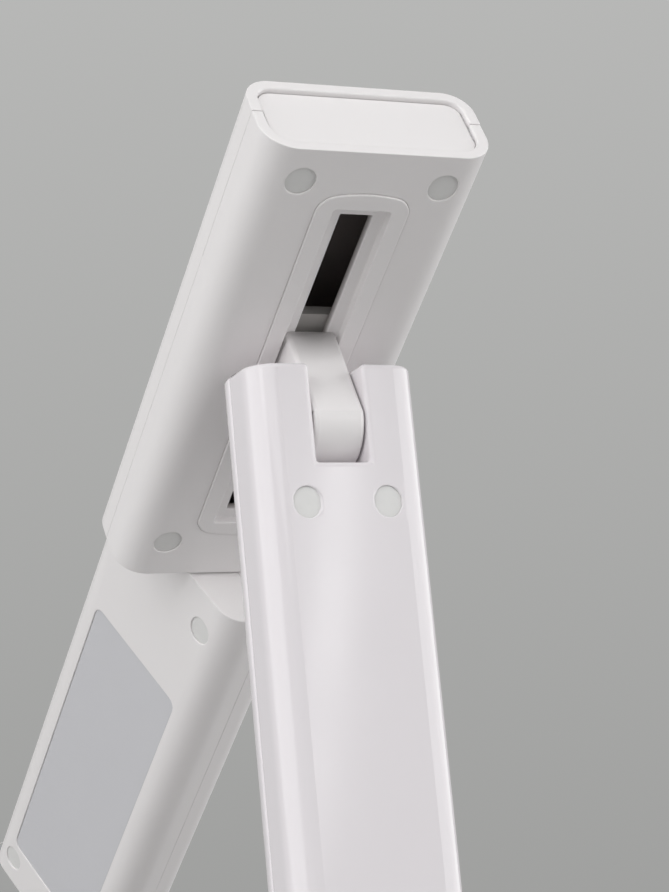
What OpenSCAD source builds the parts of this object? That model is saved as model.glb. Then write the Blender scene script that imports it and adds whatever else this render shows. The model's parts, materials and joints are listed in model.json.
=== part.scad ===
// Folding LED desk lamp. Millimetres, +Z up, +Y away from the viewer.
// The origin is the middle of the base's underside, on the table.
// A base carries an upright arm. A tongue on top of the arm holds a sliding
// bar, and the lamp head turns about the long axis of the bar at its low end.

/* [Pose at rest] */
// Lean of the arm away from the viewer, from upright, in degrees
arm_lean = 13.2; // [8:0.2:18]
// Slope of the bar below level, in degrees
bar_tilt = 44; // [40:0.5:60]
// Turn of the head about the bar, from flat, in degrees
head_turn = 69; // [30:1:90]
// Place of the tongue along the bar, from the bar's top end
tongue_at = 73.5; // [60:0.5:90]

/* [Bar and head section] */
// Width of the bar and of the head
bar_w = 62; // [58:0.5:72]
// Thickness of the bar and of the head
bar_t = 25.9; // [24.5:0.1:30]
// Length of the bar
bar_len = 153.9; // [150:0.5:190]
// Length of the head
head_len = 185; // [170:1:230]
// Radius of the long corners beside the slotted face and the diffuser
front_corner_r = 9; // [6:0.5:10]
// Radius of the long corners at the back
back_corner_r = 7.5; // [5:0.5:10]
// Depth of the parting line behind the slotted face
bar_part = 13.8; // [12:0.1:16]
// Wall of the plastic shells
wall = 2.2; // [1.8:0.1:2.6]
// Wall that closes the bar and the head at the swivel
end_wall = 2.5; // [2:0.1:4]
// Rim that stands round an end cap
rim_w = 3; // [2.6:0.1:4]
// Depth of an end cap below the rim
cap_sink = 1.3; // [0.5:0.1:2]
// Thickness of an end cap's face
cap_face = 3.2; // [2:0.1:4]
// Thickness of an end cap's flange
cap_lip = 1.5; // [1:0.1:2]

/* [Slot in the bar] */
// Distance of the outer recess from the bar's top end
recess_top = 18.4; // [17:0.2:24]
// Distance of the outer recess from the bar's low end
recess_low = 21.5; // [20.5:0.5:30]
// Width of the outer recess
recess_w = 16; // [15:0.2:18]
// Depth of the outer recess
recess_deep = 2; // [1.2:0.1:2.5]
// Width of the inner slot
track_w = 8.8; // [7:0.2:10]
// Ledge at each end of the inner slot
track_end = 3.2; // [2:0.1:5]
// Thickness of the track that the carriage grips
track_t = 2.3; // [1.6:0.1:3]
// Width of the raised frame round the slot
frame_w = 25.4; // [24:0.2:27]
// Frame beyond each end of the recess
frame_end = 5.2; // [4:0.1:6]
// Corner radius of the frame
frame_r = 4; // [2:0.5:6]
// Height of the frame above the face
frame_proud = 0.4; // [0.2:0.1:0.8]
// Lip of the frame behind the shell
frame_lip = 1.3; // [0.8:0.1:1.6]
// Corner radius of the outer recess and of the inner slot
track_r = 1; // [0.5:0.1:2]

/* [Tongue and carriage] */
// Width of the tongue along the hinge axis
tongue_w = 14; // [12:0.2:14.6]
// Distance of the hinge axis in front of the slotted face
tongue_reach = 20; // [19.6:0.1:26]
// Width of the neck in the inner slot
neck_w = 8.2; // [6:0.2:8.4]
// Half length of the neck along the slot
neck_half = 9; // [8:0.5:12]
// Width of the carriage plate
carriage_w = 18; // [16:0.5:20]
// Half length of the carriage plate along the slot
carriage_half = 16; // [14:0.5:18]
// Thickness of the carriage plate
carriage_t = 3; // [2.5:0.1:4]
// Place of the carriage screws from the middle of the neck
carriage_screw_at = 5; // [4:0.1:6]
// Depth of the carriage screws in the tongue
carriage_screw_in = 6.6; // [5:0.2:10]
// Radius of a brake pad
pad_r = 2; // [1.5:0.1:2.2]
// Depth of a brake pad in the carriage
pad_deep = 1.5; // [1:0.1:2]
// Place of the brake pads along the slot, from the middle
pad_along = 11; // [9:0.5:13]

/* [Arm] */
// Width of the arm
arm_w = 46.4; // [44:0.2:56]
// Thickness of the arm
arm_t = 24.4; // [23.6:0.1:28]
// Distance from the top hinge to the foot hinge
arm_reach = 275; // [265:1:340]
// Arm above the top hinge axis
arm_over = 13.1; // [12.6:0.1:14.6]
// Radius of the arm's front corners
arm_front_r = 7.2; // [5:0.2:9]
// Radius of the arm's back corners
arm_back_r = 7; // [5:0.2:9]
// Depth of the arm's parting line behind its front face
arm_part = 15.7; // [14:0.1:17]
// Wall beside a notch
cheek_wall = 2; // [1.6:0.1:2.2]
// Distance from a notch to its screws
notch_to_screw = 10.3; // [9:0.1:14]
// Distance of the arm's screws from its middle
arm_screw_x = 11; // [10.6:0.1:12]
// Number of ribs inside the arm's back shell
arm_rib_count = 3; // [1:1:6]

/* [Hinges] */
// Radius of a hinge pin
pin_r = 2.5; // [2:0.1:3]
// Thickness of the steel in the arm's frame
steel_t = 1.5; // [1.2:0.1:2]
// Radius of the steel ears
ear_r = 8.5; // [7.6:0.1:9]
// Radius of a friction washer
washer_r = 7.5; // [6:0.1:7.8]
// Width of the steel strap along the arm
strap_w = 12; // [8:0.5:12]
// Distance of the strap behind the hinge axis
strap_back = 6.25; // [5.5:0.05:6.6]
// Radius of a pin's head
pin_head_r = 4.2; // [3.5:0.1:5]
// Thickness of a pin's head
pin_head_t = 2; // [1.5:0.1:3]

/* [Screws and caps] */
// Radius of a screw cap
cap_r = 4.05; // [3.6:0.05:4.3]
// Thickness of a screw cap
cap_t = 1.2; // [1:0.1:1.5]
// Radius of a screw's head
screw_head_r = 2.8; // [2.2:0.1:3]
// Thickness of a screw's head
screw_head_t = 1.8; // [1.4:0.1:2.2]
// Depth of the seat under a screw's head, from the outer face
screw_seat = 4.5; // [4.2:0.1:5.5]
// Radius of a screw's shank
screw_r = 1.5; // [1.2:0.1:1.6]
// Radius of a screw post
post_r = 4.8; // [4.6:0.1:4.9]
// Radius of a slim screw post in the base
slim_post_r = 3.8; // [3:0.1:4.4]
// Radius of a small screw's shank
small_screw_r = 1; // [0.8:0.1:1.2]
// Radius of a small screw's head
small_head_r = 2.3; // [1.6:0.1:2.6]
// Radius of a small screw's post
small_post_r = 2.4; // [2:0.1:3]
// Thickness of a flat screw head
flat_head_t = 0.9; // [0.6:0.1:1.2]
// Distance of the bar's screws from its middle
screw_x = 19.3; // [19:0.1:21]
// Distance of screws from an end that has an end cap
screw_cap_end = 10.2; // [9.8:0.1:11]
// Distance of screws from an end at the swivel
screw_swivel_end = 13.2; // [13:0.1:14]

/* [Swivel] */
// Outer radius of the hollow shaft
shaft_r = 6; // [5:0.1:6.4]
// Wall of the hollow shaft
shaft_wall = 1.5; // [1:0.1:2]
// Outer radius of the bush
bush_r = 8; // [7.4:0.1:8.4]
// Length of the bush inside the end wall
bush_in = 6; // [4:0.5:8]
// Radius of the flanges
flange_r = 9.5; // [9:0.1:9.8]
// Thickness of the flanges
flange_t = 2; // [1.5:0.1:3]
// Length of the shaft inside the head
shaft_in_head = 12; // [8:1:20]
// Thickness of the swivel nut
swivel_nut_t = 4; // [3:0.1:5]
// Thickness of the spring washer
spring_t = 1.2; // [0.8:0.1:2]
// Thickness of the thrust ring between the bar and the head
thrust_t = 0.7; // [0.5:0.1:1.2]
// Radius of the thrust ring
thrust_r = 11; // [9:0.5:12]

/* [Light] */
// Width of the diffuser
diffuser_w = 41.5; // [36:0.5:42]
// Distance of the diffuser from the head's swivel end
diffuser_from = 45.5; // [40:0.5:60]
// Distance of the diffuser from the head's far end
diffuser_end = 17; // [16.5:0.5:25]
// Corner radius of the diffuser
diffuser_r = 3; // [1:0.5:6]
// Depth of the diffuser below the face
diffuser_sink = 0.3; // [0.1:0.1:0.6]
// Thickness of the diffuser's flange
diffuser_lip_t = 1.4; // [1:0.1:2]
// Width of the diffuser's flange
diffuser_lip = 1.2; // [0.8:0.1:1.4]
// Height of the reflector
reflector_h = 4.4; // [3:0.1:6]
// Wall of the reflector
reflector_wall = 1.6; // [1:0.1:2]
// Thickness of the light board
board_t = 1.6; // [1:0.1:2]
// Size of a light chip
chip = 3; // [2:0.1:4]
// Height of a light chip
chip_t = 0.8; // [0.5:0.1:1]
// Number of chips in a row
chip_count = 12; // [8:1:16]
// Distance of a row of chips from the middle
chip_row_x = 9; // [7:0.5:13]
// Distance of the head's ribs from the ends of the light board
rib_short = 17; // [5:1:30]

/* [Base] */
// Width of the base
base_w = 120; // [110:1:150]
// Depth of the base, front to back
base_d = 184; // [175:1:230]
// Height of the base with its pad
base_h = 22; // [20:0.5:28]
// Corner radius of the base
base_r = 24; // [18:1:30]
// Round of the base's top edge
base_edge_r = 4; // [2:0.5:5]
// Wall of the base
base_wall = 2.5; // [2:0.1:3]
// Distance of the foot hinge from the base's near edge
foot_from_edge = 30; // [26:1:40]
// Room between the folded arm and the base
foot_room = 0.8; // [0.5:0.1:2]
// Thickness of the grip pad
grip_t = 1.5; // [1:0.1:3]
// Distance of the grip pad from the base's edge
grip_inset = 8; // [5:1:15]
// Thickness of the bottom cover
cover_t = 2.2; // [1.8:0.1:3]
// Thickness of the steel ballast
ballast_t = 5; // [3:0.5:6]
// Width of the steel ballast
ballast_w = 84; // [70:1:86]
// Depth of the steel ballast
ballast_d = 148; // [130:1:150]
// Corner radius of the steel ballast
ballast_r = 6; // [2:0.5:10]
// Distance of the base's screws from the base's corner sides
base_screw_in = 12; // [11:0.5:14]
// Length of the base's screws
base_screw_len = 9.8; // [8:0.2:13]
// Thickness of the foot bracket's plate
bracket_t = 4; // [3:0.1:5]
// Width of the foot bracket's plate
bracket_w = 40; // [32:1:50]
// Depth of the foot bracket's plate
bracket_d = 44; // [36:1:48]
// Distance of the bracket's screws from its plate's edges
bracket_screw_in = 5; // [4:0.5:6]

/* [Switch and power] */
// Distance of the button from the base's far edge
button_from_edge = 34; // [28:1:45]
// Radius of the button
button_r = 7.5; // [5:0.5:10]
// Height of the button above the base
button_proud = 0.4; // [0.2:0.1:1]
// Travel of the button
button_travel = 0.8; // [0.4:0.1:1.2]
// Thickness of the button's flange
button_lip_t = 1.2; // [1:0.1:2]
// Width of the button's flange
button_lip = 1.6; // [1:0.1:3]
// Side of the switch body
switch_w = 6; // [5:0.5:8]
// Height of the switch body
switch_h = 2.6; // [2:0.1:3]
// Width of the control board
control_w = 44; // [36:1:50]
// Depth of the control board
control_d = 26; // [22:1:30]
// Thickness of the control board
control_t = 1.2; // [1:0.1:1.6]
// Distance of the control board's posts from its edges
control_in = 4; // [3.5:0.5:5]
// Corner radius of the control board
control_r = 1; // [0.5:0.5:3]
// Width of the control board's tab under the inlet
control_tab_w = 18; // [12:1:22]
// Width of the power inlet
inlet_w = 9; // [8:0.1:10]
// Height of the power inlet
inlet_h = 3.2; // [2.8:0.1:4]
// Depth of the power inlet
inlet_d = 7.4; // [6:0.1:9]
// Wall of the power inlet
inlet_wall = 0.4; // [0.3:0.05:0.6]
// Width of the battery
battery_w = 56; // [40:1:60]
// Depth of the battery
battery_d = 50; // [40:1:54]
// Thickness of the battery
battery_t = 6; // [4:0.5:7]
// Corner radius of the battery
battery_r = 2.2; // [1:0.2:4]
// Room between the foot bracket and the battery
battery_room = 2.2; // [1:0.2:4]

/* [Clearances] */
// Gap of a sliding fit, on each side
slide_gap = 0.2; // [0.1:0.05:0.3]
// Gap between the tongue and the arm's notch, on each side
notch_gap = 0.4; // [0.3:0.05:0.6]
// Gap round a piece that is set into another
seat_gap = 0.1; // [0.05:0.05:0.2]
// Gap between a pin and its bore
bore_gap = 0.05; // [0.02:0.01:0.08]

/* [Hidden] */
$fn = 64;
eps = 1;

// Longer than the lamp, for cuts that pass right through
far = 500;
// Least round of an inner edge
least_round = 0.5;

knuckle_r = arm_t / 2;
notch_w = tongue_w + 2 * notch_gap;
notch_past = knuckle_r + notch_gap;
ear_in = notch_w / 2 + cheek_wall + slide_gap;
ear_out = ear_in + steel_t;
plate_at = notch_past + cheek_wall + slide_gap;
strap_b = knuckle_r + strap_back;
foot_y = foot_from_edge - base_d / 2;
foot_z = base_h + knuckle_r + foot_room;
top_y = foot_y + arm_reach * sin(arm_lean);
top_z = foot_z + arm_reach * cos(arm_lean);
foot_s = arm_over + arm_reach;
arm_len = foot_s + knuckle_r;
arm_screw_near = arm_over + notch_past + notch_to_screw;
arm_screw_far = foot_s - notch_past - notch_to_screw;
arm_screw_tip = arm_t - 2 * wall;
bar_mid = bar_t / 2;
bar_screw_tip = bar_t - 2 * wall;
rim_depth = cap_sink + cap_face;
recess_to = bar_len - recess_low;
frame_from = recess_top - frame_end;
frame_to = recess_to + frame_end;
head_from = bar_len + thrust_t + seat_gap;
grip_top = grip_t;
cover_top = grip_top + cover_t;
ballast_top = cover_top + ballast_t;
base_inner_top = base_h - base_wall;
button_y = base_d / 2 - button_from_edge;
button_flange_top = base_inner_top - seat_gap;
switch_top = button_flange_top - button_lip_t - button_travel - seat_gap;
control_top = switch_top - switch_h;
control_bottom = control_top - control_t;
bush_l = bar_len - end_wall - bush_in;
spring_l = bush_l - spring_t - seat_gap;
nut_l = spring_l - swivel_nut_t - seat_gap;
diffuser_to = head_len - diffuser_end;
diffuser_lip_n = wall + seat_gap;
reflector_n = diffuser_lip_n + diffuser_lip_t;
light_board_n = reflector_n + reflector_h;
light_board_back = light_board_n + board_t;
chip_pitch = (diffuser_to - diffuser_from) / chip_count;
battery_y = foot_y + bracket_d / 2 + battery_room + battery_d / 2;
white = "#f2f1f2";

// A box from its low corner to its high corner.
module block(low, high) translate(low) cube(high - low);

// A flat shape in x and n, carried along l from one place to another.
module along(from, to) {
  translate([0, to, 0]) rotate([90, 0, 0]) linear_extrude(to - from) children();
}

// A flat shape in x and l, raised along n from one depth to another.
module through(from, to) translate([0, 0, from]) linear_extrude(to - from) children();

// A round bar along x, centred on the origin.
module cross_bar(r, len) rotate([0, 90, 0]) cylinder(r = r, h = len, center = true);

// A ring or a tube along n.
module tube(r, bore, from, to) translate([0, 0, from]) difference() {
  cylinder(r = r, h = to - from);
  translate([0, 0, -eps]) cylinder(r = bore, h = to - from + 2 * eps);
}

// The arm's own place: x across, y down from its top, z from front to back.
module on_arm() {
  translate([0, top_y, top_z]) rotate([-90 - arm_lean, 0, 0])
    translate([0, -arm_over, -knuckle_r]) children();
}

// The bar's own place: x across, y down its length, z in from the slotted face.
module on_bar() {
  translate([0, top_y, top_z]) rotate([-bar_tilt, 0, 0])
    translate([0, -tongue_at, tongue_reach]) children();
}

// The head's own place: the bar's, turned about the bar's long axis.
module on_head() {
  on_bar() translate([0, head_from, bar_mid]) rotate([0, head_turn, 0])
    translate([0, 0, -bar_mid]) children();
}

// A section with round corners: front radius at n = 0, back radius at n = t.
module section(w, t, front_r, back_r, inset = 0) {
  half = w / 2 - inset;
  f = front_r - inset;
  b = back_r - inset;
  low = inset;
  high = t - inset;
  union() {
    polygon([
      [f - half, low], [half - f, low], [half, low + f], [half, high - b],
      [half - b, high], [b - half, high], [-half, high - b], [-half, low + f]
    ]);
    for (side = [-1, 1]) {
      translate([side * (half - f), low + f]) circle(r = f);
      translate([side * (half - b), high - b]) circle(r = b);
    }
  }
}

module bar_section(inset = 0) section(bar_w, bar_t, front_corner_r, back_corner_r, inset);
module arm_section(inset = 0) section(arm_w, arm_t, arm_front_r, arm_back_r, inset);

// A plate's outline with round corners, from one place along l to another.
module plate(w, from, to, r) {
  translate([-w / 2 + r, from]) square([w - 2 * r, to - from]);
  translate([-w / 2, from + r]) square([w, to - from - 2 * r]);
  for (side = [-1, 1]) for (l = [from + r, to - r])
    translate([side * (w / 2 - r), l]) circle(r = r);
}

// What a capped screw needs in the front shell: cap, head and shank holes.
module screw_holes(deep) {
  translate([0, 0, -eps]) cylinder(r = cap_r + seat_gap, h = cap_t + seat_gap + eps);
  cylinder(r = screw_head_r + seat_gap, h = screw_seat);
  cylinder(r = screw_r + bore_gap, h = deep);
}
module capped_screw(len) {
  translate([0, 0, screw_seat - screw_head_t]) cylinder(r = screw_head_r, h = screw_head_t);
  translate([0, 0, screw_seat]) cylinder(r = screw_r, h = len - screw_seat);
}
module screw_cap() translate([0, 0, seat_gap]) cylinder(r = cap_r, h = cap_t);

// A screw post that grows out of the front wall, or out of the back wall.
module front_post(part) translate([0, 0, wall / 2]) cylinder(r = post_r, h = part - wall / 2);
module back_post(part, t) translate([0, 0, part]) cylinder(r = post_r, h = t - part - wall / 2);

// The places of four screws, from their distance to the middle.
module four_places(across, near, away) {
  for (x = [-across, across]) for (l = [near, away]) translate([x, l, 0]) children();
}
module bar_screw_places() four_places(screw_x, screw_cap_end, bar_len - screw_swivel_end) children();
module head_screw_places() four_places(screw_x, screw_swivel_end, head_len - screw_cap_end) children();
module arm_screw_places() four_places(arm_screw_x, arm_screw_near, arm_screw_far) children();

// Keeps the part of a shell in front of its parting line, or behind it.
module front_half(part) intersection() {
  block([-far, -far, -eps], [far, far, part]);
  children();
}
module back_half(part) intersection() {
  block([-far, -far, part], [far, far, far]);
  children();
}

// Bar and head, as one hollow form that is closed at one end.
// The capped end is at l = 0 here.
module hollow_bar(len) difference() {
  along(0, len) bar_section();
  along(-eps, rim_depth) bar_section(rim_w);
  along(rim_depth, len - end_wall) bar_section(wall);
}

// The bar's window for the slot frame.
module window() plate(frame_w + 2 * seat_gap, frame_from, frame_to, frame_r);

module bar_front_shell() color(white) on_bar() difference() {
  union() {
    front_half(bar_part) hollow_bar(bar_len);
    bar_screw_places() front_post(bar_part);
  }
  bar_screw_places() screw_holes(bar_part + eps);
  through(-eps, wall + eps) window();
  bush_hole();
}

module bar_back_shell() color(white) on_bar() difference() {
  union() {
    back_half(bar_part) hollow_bar(bar_len);
    bar_screw_places() back_post(bar_part, bar_t);
  }
  bar_screw_places() screw_holes(bar_screw_tip);
  bush_hole();
}

module bush_hole() translate([0, bar_len + eps, bar_mid]) rotate([90, 0, 0])
  cylinder(r = bush_r + bore_gap, h = end_wall + 2 * eps);

module slot_frame() color("#efeeef") on_bar() difference() {
  union() {
    through(-frame_proud, recess_deep + track_t)
      plate(frame_w, frame_from + seat_gap, frame_to - seat_gap, frame_r);
    through(wall, recess_deep + track_t)
      plate(frame_w + 2 * frame_lip, frame_from - frame_lip, frame_to + frame_lip, frame_r);
  }
  through(-frame_proud - eps, recess_deep) plate(recess_w, recess_top, recess_to, track_r);
  through(0, recess_deep + track_t + eps)
    plate(track_w, recess_top + track_end, recess_to - track_end, track_r);
}

// An end cap sits inside the rim, and its flange goes round the screw posts.
module end_cap() difference() {
  union() {
    along(cap_sink, rim_depth) bar_section(rim_w + seat_gap);
    along(rim_depth, rim_depth + cap_lip) bar_section(wall + seat_gap);
  }
  for (x = [-screw_x, screw_x]) translate([x, screw_cap_end, -eps])
    cylinder(r = post_r + seat_gap, h = bar_t + 2 * eps);
}
module bar_end_cap() color(white) on_bar() end_cap();

module bar_screws() color("silver") on_bar() bar_screw_places() capped_screw(bar_screw_tip - seat_gap);
module bar_screw_caps() color("#dfe2df") on_bar() bar_screw_places() screw_cap();

// The swivel is a hollow shaft that the head carries. It turns in a flanged
// bush in the bar's end wall, and a nut holds it over a spring washer.
module on_swivel(l) translate([0, l, bar_mid]) rotate([-90, 0, 0]) children();
module swivel_bush() color("ivory") on_bar() on_swivel(bush_l) {
  tube(bush_r, shaft_r + bore_gap, 0, bush_in + end_wall);
  tube(flange_r, bush_r - eps / 2, bush_in - flange_t, bush_in);
}
module thrust_ring() color("ivory") on_bar() on_swivel(bar_len)
  tube(thrust_r, shaft_r + slide_gap, 0, thrust_t);
module swivel_spring_washer() color("silver") on_bar() on_swivel(spring_l)
  tube(flange_r - seat_gap, shaft_r + slide_gap, seat_gap, spring_t);
module swivel_nut() color("silver") on_bar() on_swivel(nut_l)
  tube(flange_r, shaft_r + bore_gap, 0, swivel_nut_t);
module swivel_shaft() color("silver") on_bar() on_swivel(nut_l) {
  flange_at = head_from + end_wall - nut_l;
  tube(shaft_r, shaft_r - shaft_wall, 0, head_from + shaft_in_head - nut_l);
  tube(flange_r, shaft_r - shaft_wall / 2, flange_at, flange_at + flange_t);
}

// The head is the bar's section again, closed at the swivel end.
module head_form() translate([0, head_len, 0]) mirror([0, 1, 0]) hollow_bar(head_len);
module head_window(gap = 0) {
  plate(diffuser_w - 2 * gap, diffuser_from + gap, diffuser_to - gap, diffuser_r);
}
module shaft_hole() translate([0, -eps, bar_mid]) rotate([-90, 0, 0])
  cylinder(r = shaft_r + bore_gap, h = end_wall + 2 * eps);

module head_front_shell() color(white) on_head() difference() {
  union() {
    front_half(bar_part) head_form();
    head_screw_places() front_post(bar_part);
  }
  head_screw_places() screw_holes(bar_part + eps);
  through(-eps, wall + eps) head_window();
  shaft_hole();
}

module head_back_shell() color(white) on_head() difference() {
  rib_low = [-wall / 2, diffuser_from + rib_short, light_board_back];
  rib_high = [wall / 2, diffuser_to - rib_short, bar_t - wall / 2];
  union() {
    back_half(bar_part) head_form();
    head_screw_places() back_post(bar_part, bar_t);
    for (side = [-1, 1]) translate([side * chip_row_x, 0, 0]) block(rib_low, rib_high);
  }
  head_screw_places() screw_holes(bar_screw_tip);
  shaft_hole();
}

module head_end_cap() color(white) on_head() translate([0, head_len, 0]) mirror([0, 1, 0]) end_cap();
module head_screws() color("silver") on_head() head_screw_places() capped_screw(bar_screw_tip - seat_gap);
module head_screw_caps() color("#dfe2df") on_head() head_screw_places() screw_cap();

module diffuser() color("#d8d9df") on_head() {
  through(diffuser_sink, diffuser_lip_n) head_window(seat_gap);
  through(diffuser_lip_n, reflector_n) head_window(-diffuser_lip);
}

module reflector() color("white") on_head() difference() {
  through(reflector_n, light_board_n) head_window(-diffuser_lip);
  through(reflector_n - eps, light_board_n + eps) head_window(reflector_wall - diffuser_lip);
}

module light_board() color("gainsboro") on_head()
  through(light_board_n, light_board_back) head_window(-diffuser_lip);

// Two rows of chips, each in the middle of its own share of the board.
module light_chips() color("khaki") on_head() for (side = [-1, 1]) for (i = [1 : chip_count])
  translate([side * chip_row_x - chip / 2, diffuser_from + i * chip_pitch - (chip_pitch + chip) / 2, 0])
    through(light_board_n - chip_t, light_board_n) square(chip);

// The tongue stands in the slot's recess, and its neck passes the track.
module tongue() color(white) on_bar() translate([0, tongue_at, 0]) difference() {
  foot = recess_deep - slide_gap;
  track_back = recess_deep + track_t + slide_gap;
  union() {
    translate([0, 0, -tongue_reach]) cross_bar(knuckle_r, tongue_w);
    block([-tongue_w / 2, -knuckle_r, -tongue_reach], [tongue_w / 2, knuckle_r, foot]);
    block([-neck_w / 2, -neck_half, foot - eps], [neck_w / 2, neck_half, track_back]);
  }
  translate([0, 0, -tongue_reach]) cross_bar(pin_r + bore_gap, tongue_w + 2 * eps);
  for (side = [-1, 1]) translate([0, side * carriage_screw_at, track_back - carriage_screw_in])
    cylinder(r = screw_r + bore_gap, h = carriage_screw_in + eps);
}

module slide_carriage() color("whitesmoke") on_carriage() difference() {
  linear_extrude(carriage_t) plate(carriage_w, -carriage_half, carriage_half, pad_r);
  for (side = [-1, 1]) translate([0, side * carriage_screw_at, -eps])
    cylinder(r = screw_r + bore_gap, h = carriage_t + 2 * eps);
  brake_pad_places() translate([0, 0, -eps]) cylinder(r = pad_r + bore_gap, h = pad_deep + eps);
}
module on_carriage() on_bar() translate([0, tongue_at, recess_deep + track_t + slide_gap]) children();
module brake_pad_places() for (x = [-1, 1]) for (l = [-pad_along, pad_along])
  translate([x * (track_w + carriage_w) / 4, l, 0]) children();

module carriage_screws() color("silver") on_carriage() for (side = [-1, 1])
  translate([0, side * carriage_screw_at, 0]) {
    translate([0, 0, seat_gap - carriage_screw_in])
      cylinder(r = screw_r, h = carriage_t + carriage_screw_in);
    translate([0, 0, carriage_t]) cylinder(r = screw_head_r, h = screw_head_t);
  }
module brake_pads() color("dimgray") on_carriage() brake_pad_places()
  translate([0, 0, bore_gap - slide_gap]) cylinder(r = pad_r, h = pad_deep + slide_gap - bore_gap);

// The arm as one hollow form: flat at the top, round at the foot, and
// notched at both ends.
module arm_side(inset) union() {
  block([-far, inset, inset], [far, foot_s, arm_t - inset]);
  translate([0, foot_s, knuckle_r]) cross_bar(knuckle_r - inset, 2 * far);
}
module arm_form() difference() {
  intersection() {
    along(0, arm_len) arm_section();
    arm_side(0);
  }
  difference() {
    intersection() {
      along(wall, arm_len) arm_section(wall);
      arm_side(wall);
    }
    cheek_block(notch_w / 2 + cheek_wall, cheek_wall);
  }
  cheek_block(notch_w / 2, 0);
  for (s = [arm_over, foot_s]) translate([0, s, knuckle_r])
    cross_bar(washer_r + slide_gap, notch_w + 2 * cheek_wall + eps);
}
module cheek_block(half, more) {
  block([-half, -eps, -eps], [half, arm_over + notch_past + more, arm_t + eps]);
  block([-half, foot_s - notch_past - more, -eps], [half, arm_len + eps, arm_t + eps]);
}

module arm_front_shell() color(white) on_arm() difference() {
  union() {
    front_half(arm_part) arm_form();
    arm_screw_places() front_post(arm_part);
  }
  arm_screw_places() screw_holes(arm_part + eps);
  cheek_block(notch_w / 2, 0);
}

module arm_back_shell() color(white) on_arm() difference() {
  union() {
    back_half(arm_part) arm_form();
    arm_screw_places() back_post(arm_part, arm_t);
    for (k = [1 : arm_rib_count]) translate([0, arm_over + k * arm_reach / (arm_rib_count + 1), 0])
      block([-strap_w, -wall / 2, strap_b + steel_t], [strap_w, wall / 2, arm_t - wall / 2]);
  }
  arm_screw_places() screw_holes(arm_screw_tip);
}

// One end of the steel frame: two ears, and a plate across behind the notch.
module steel_end() {
  reach = plate_at + steel_t;
  for (side = [-1, 1]) translate([side * (ear_in + ear_out) / 2, 0, 0]) {
    cross_bar(ear_r, steel_t);
    translate([0, reach / 2, 0]) cube([steel_t, reach, 2 * (strap_back + steel_t)], center = true);
  }
  block([-ear_out, plate_at, strap_back], [ear_out, reach, strap_back + steel_t]);
}

// The steel frame: an end at each hinge, joined by a strap.
module arm_steel_frame() color("lightsteelblue") on_arm() difference() {
  union() {
    translate([0, arm_over, knuckle_r]) steel_end();
    translate([0, foot_s, knuckle_r]) mirror([0, 1, 0]) steel_end();
    block(
      [-strap_w / 2, arm_over + plate_at, strap_b],
      [strap_w / 2, foot_s - plate_at, strap_b + steel_t]
    );
  }
  for (s = [arm_over, foot_s]) translate([0, s, knuckle_r]) cross_bar(pin_r + bore_gap, far);
}

module arm_screws() color("silver") on_arm() arm_screw_places() capped_screw(arm_screw_tip - seat_gap);
module arm_screw_caps() color("#dfe2df") on_arm() arm_screw_places() screw_cap();

module on_hinge(s) on_arm() translate([0, s, knuckle_r]) children();
module hinge_pin() {
  cross_bar(pin_r, 2 * (ear_out + pin_head_t));
  translate([-ear_out - seat_gap - pin_head_t / 2, 0, 0]) cross_bar(pin_head_r, pin_head_t);
}
module hinge_nut() translate([ear_out + seat_gap, 0, 0]) rotate([0, 90, 0]) difference() {
  cylinder(r = pin_head_r, h = pin_head_t, $fn = 6);
  translate([0, 0, -eps]) cylinder(r = pin_r + bore_gap, h = pin_head_t + 2 * eps);
}
module hinge_washers() for (side = [-1, 1]) translate([side * (tongue_w / 2 + seat_gap), 0, 0])
  rotate([0, side * 90, 0]) tube(washer_r, pin_r + bore_gap, 0, ear_in - tongue_w / 2 - 2 * seat_gap);

module top_hinge_pin() color("silver") on_hinge(arm_over) hinge_pin();
module top_hinge_nut() color("silver") on_hinge(arm_over) hinge_nut();
module top_washers() color("ivory") on_hinge(arm_over) hinge_washers();
module foot_hinge_pin() color("silver") on_hinge(foot_s) hinge_pin();
module foot_hinge_nut() color("silver") on_hinge(foot_s) hinge_nut();
module foot_washers() color("ivory") on_hinge(foot_s) hinge_washers();

// The base: a box with round corners and a rounded top edge.
module base_form(inset, top) {
  r = base_r - inset;
  e = max(base_edge_r - inset, least_round);
  x = base_w / 2 - inset - r;
  y = base_d / 2 - inset - r;
  for (sx = [-1, 1]) for (sy = [-1, 1]) translate([sx * x, sy * y, grip_top]) rotate_extrude()
    round_edge(r, top - grip_top, e);
  translate([0, 0, grip_top]) {
    for (a = [0, 180]) rotate([0, 0, a]) translate([x, y, 0]) rotate([90, 0, 0])
      linear_extrude(2 * y) round_edge(r, top - grip_top, e);
    for (a = [90, 270]) rotate([0, 0, a]) translate([y, x, 0]) rotate([90, 0, 0])
      linear_extrude(2 * x) round_edge(r, top - grip_top, e);
    block([-x, -y, 0], [x, y, top - grip_top]);
  }
}
module round_edge(r, h, e) union() {
  square([r - e, h]);
  square([r, h - e]);
  intersection() {
    square([r, h]);
    translate([r - e, h - e]) circle(r = e);
  }
}
module base_outline(inset) {
  plate(base_w - 2 * inset, inset - base_d / 2, base_d / 2 - inset, base_r - inset);
}
// The four corners of an oblong, drawn in by a distance.
module corner_places(w, d, in) {
  four_places(w / 2 - in, in - d / 2, d / 2 - in) children();
}
module base_screw_places() corner_places(base_w, base_d, base_screw_in) children();
module control_post_places() translate([0, button_y, 0])
  corner_places(control_w, control_d, control_in) children();
module bracket_screw_places() translate([0, foot_y, 0])
  corner_places(bracket_w, bracket_d, bracket_screw_in) children();

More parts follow.
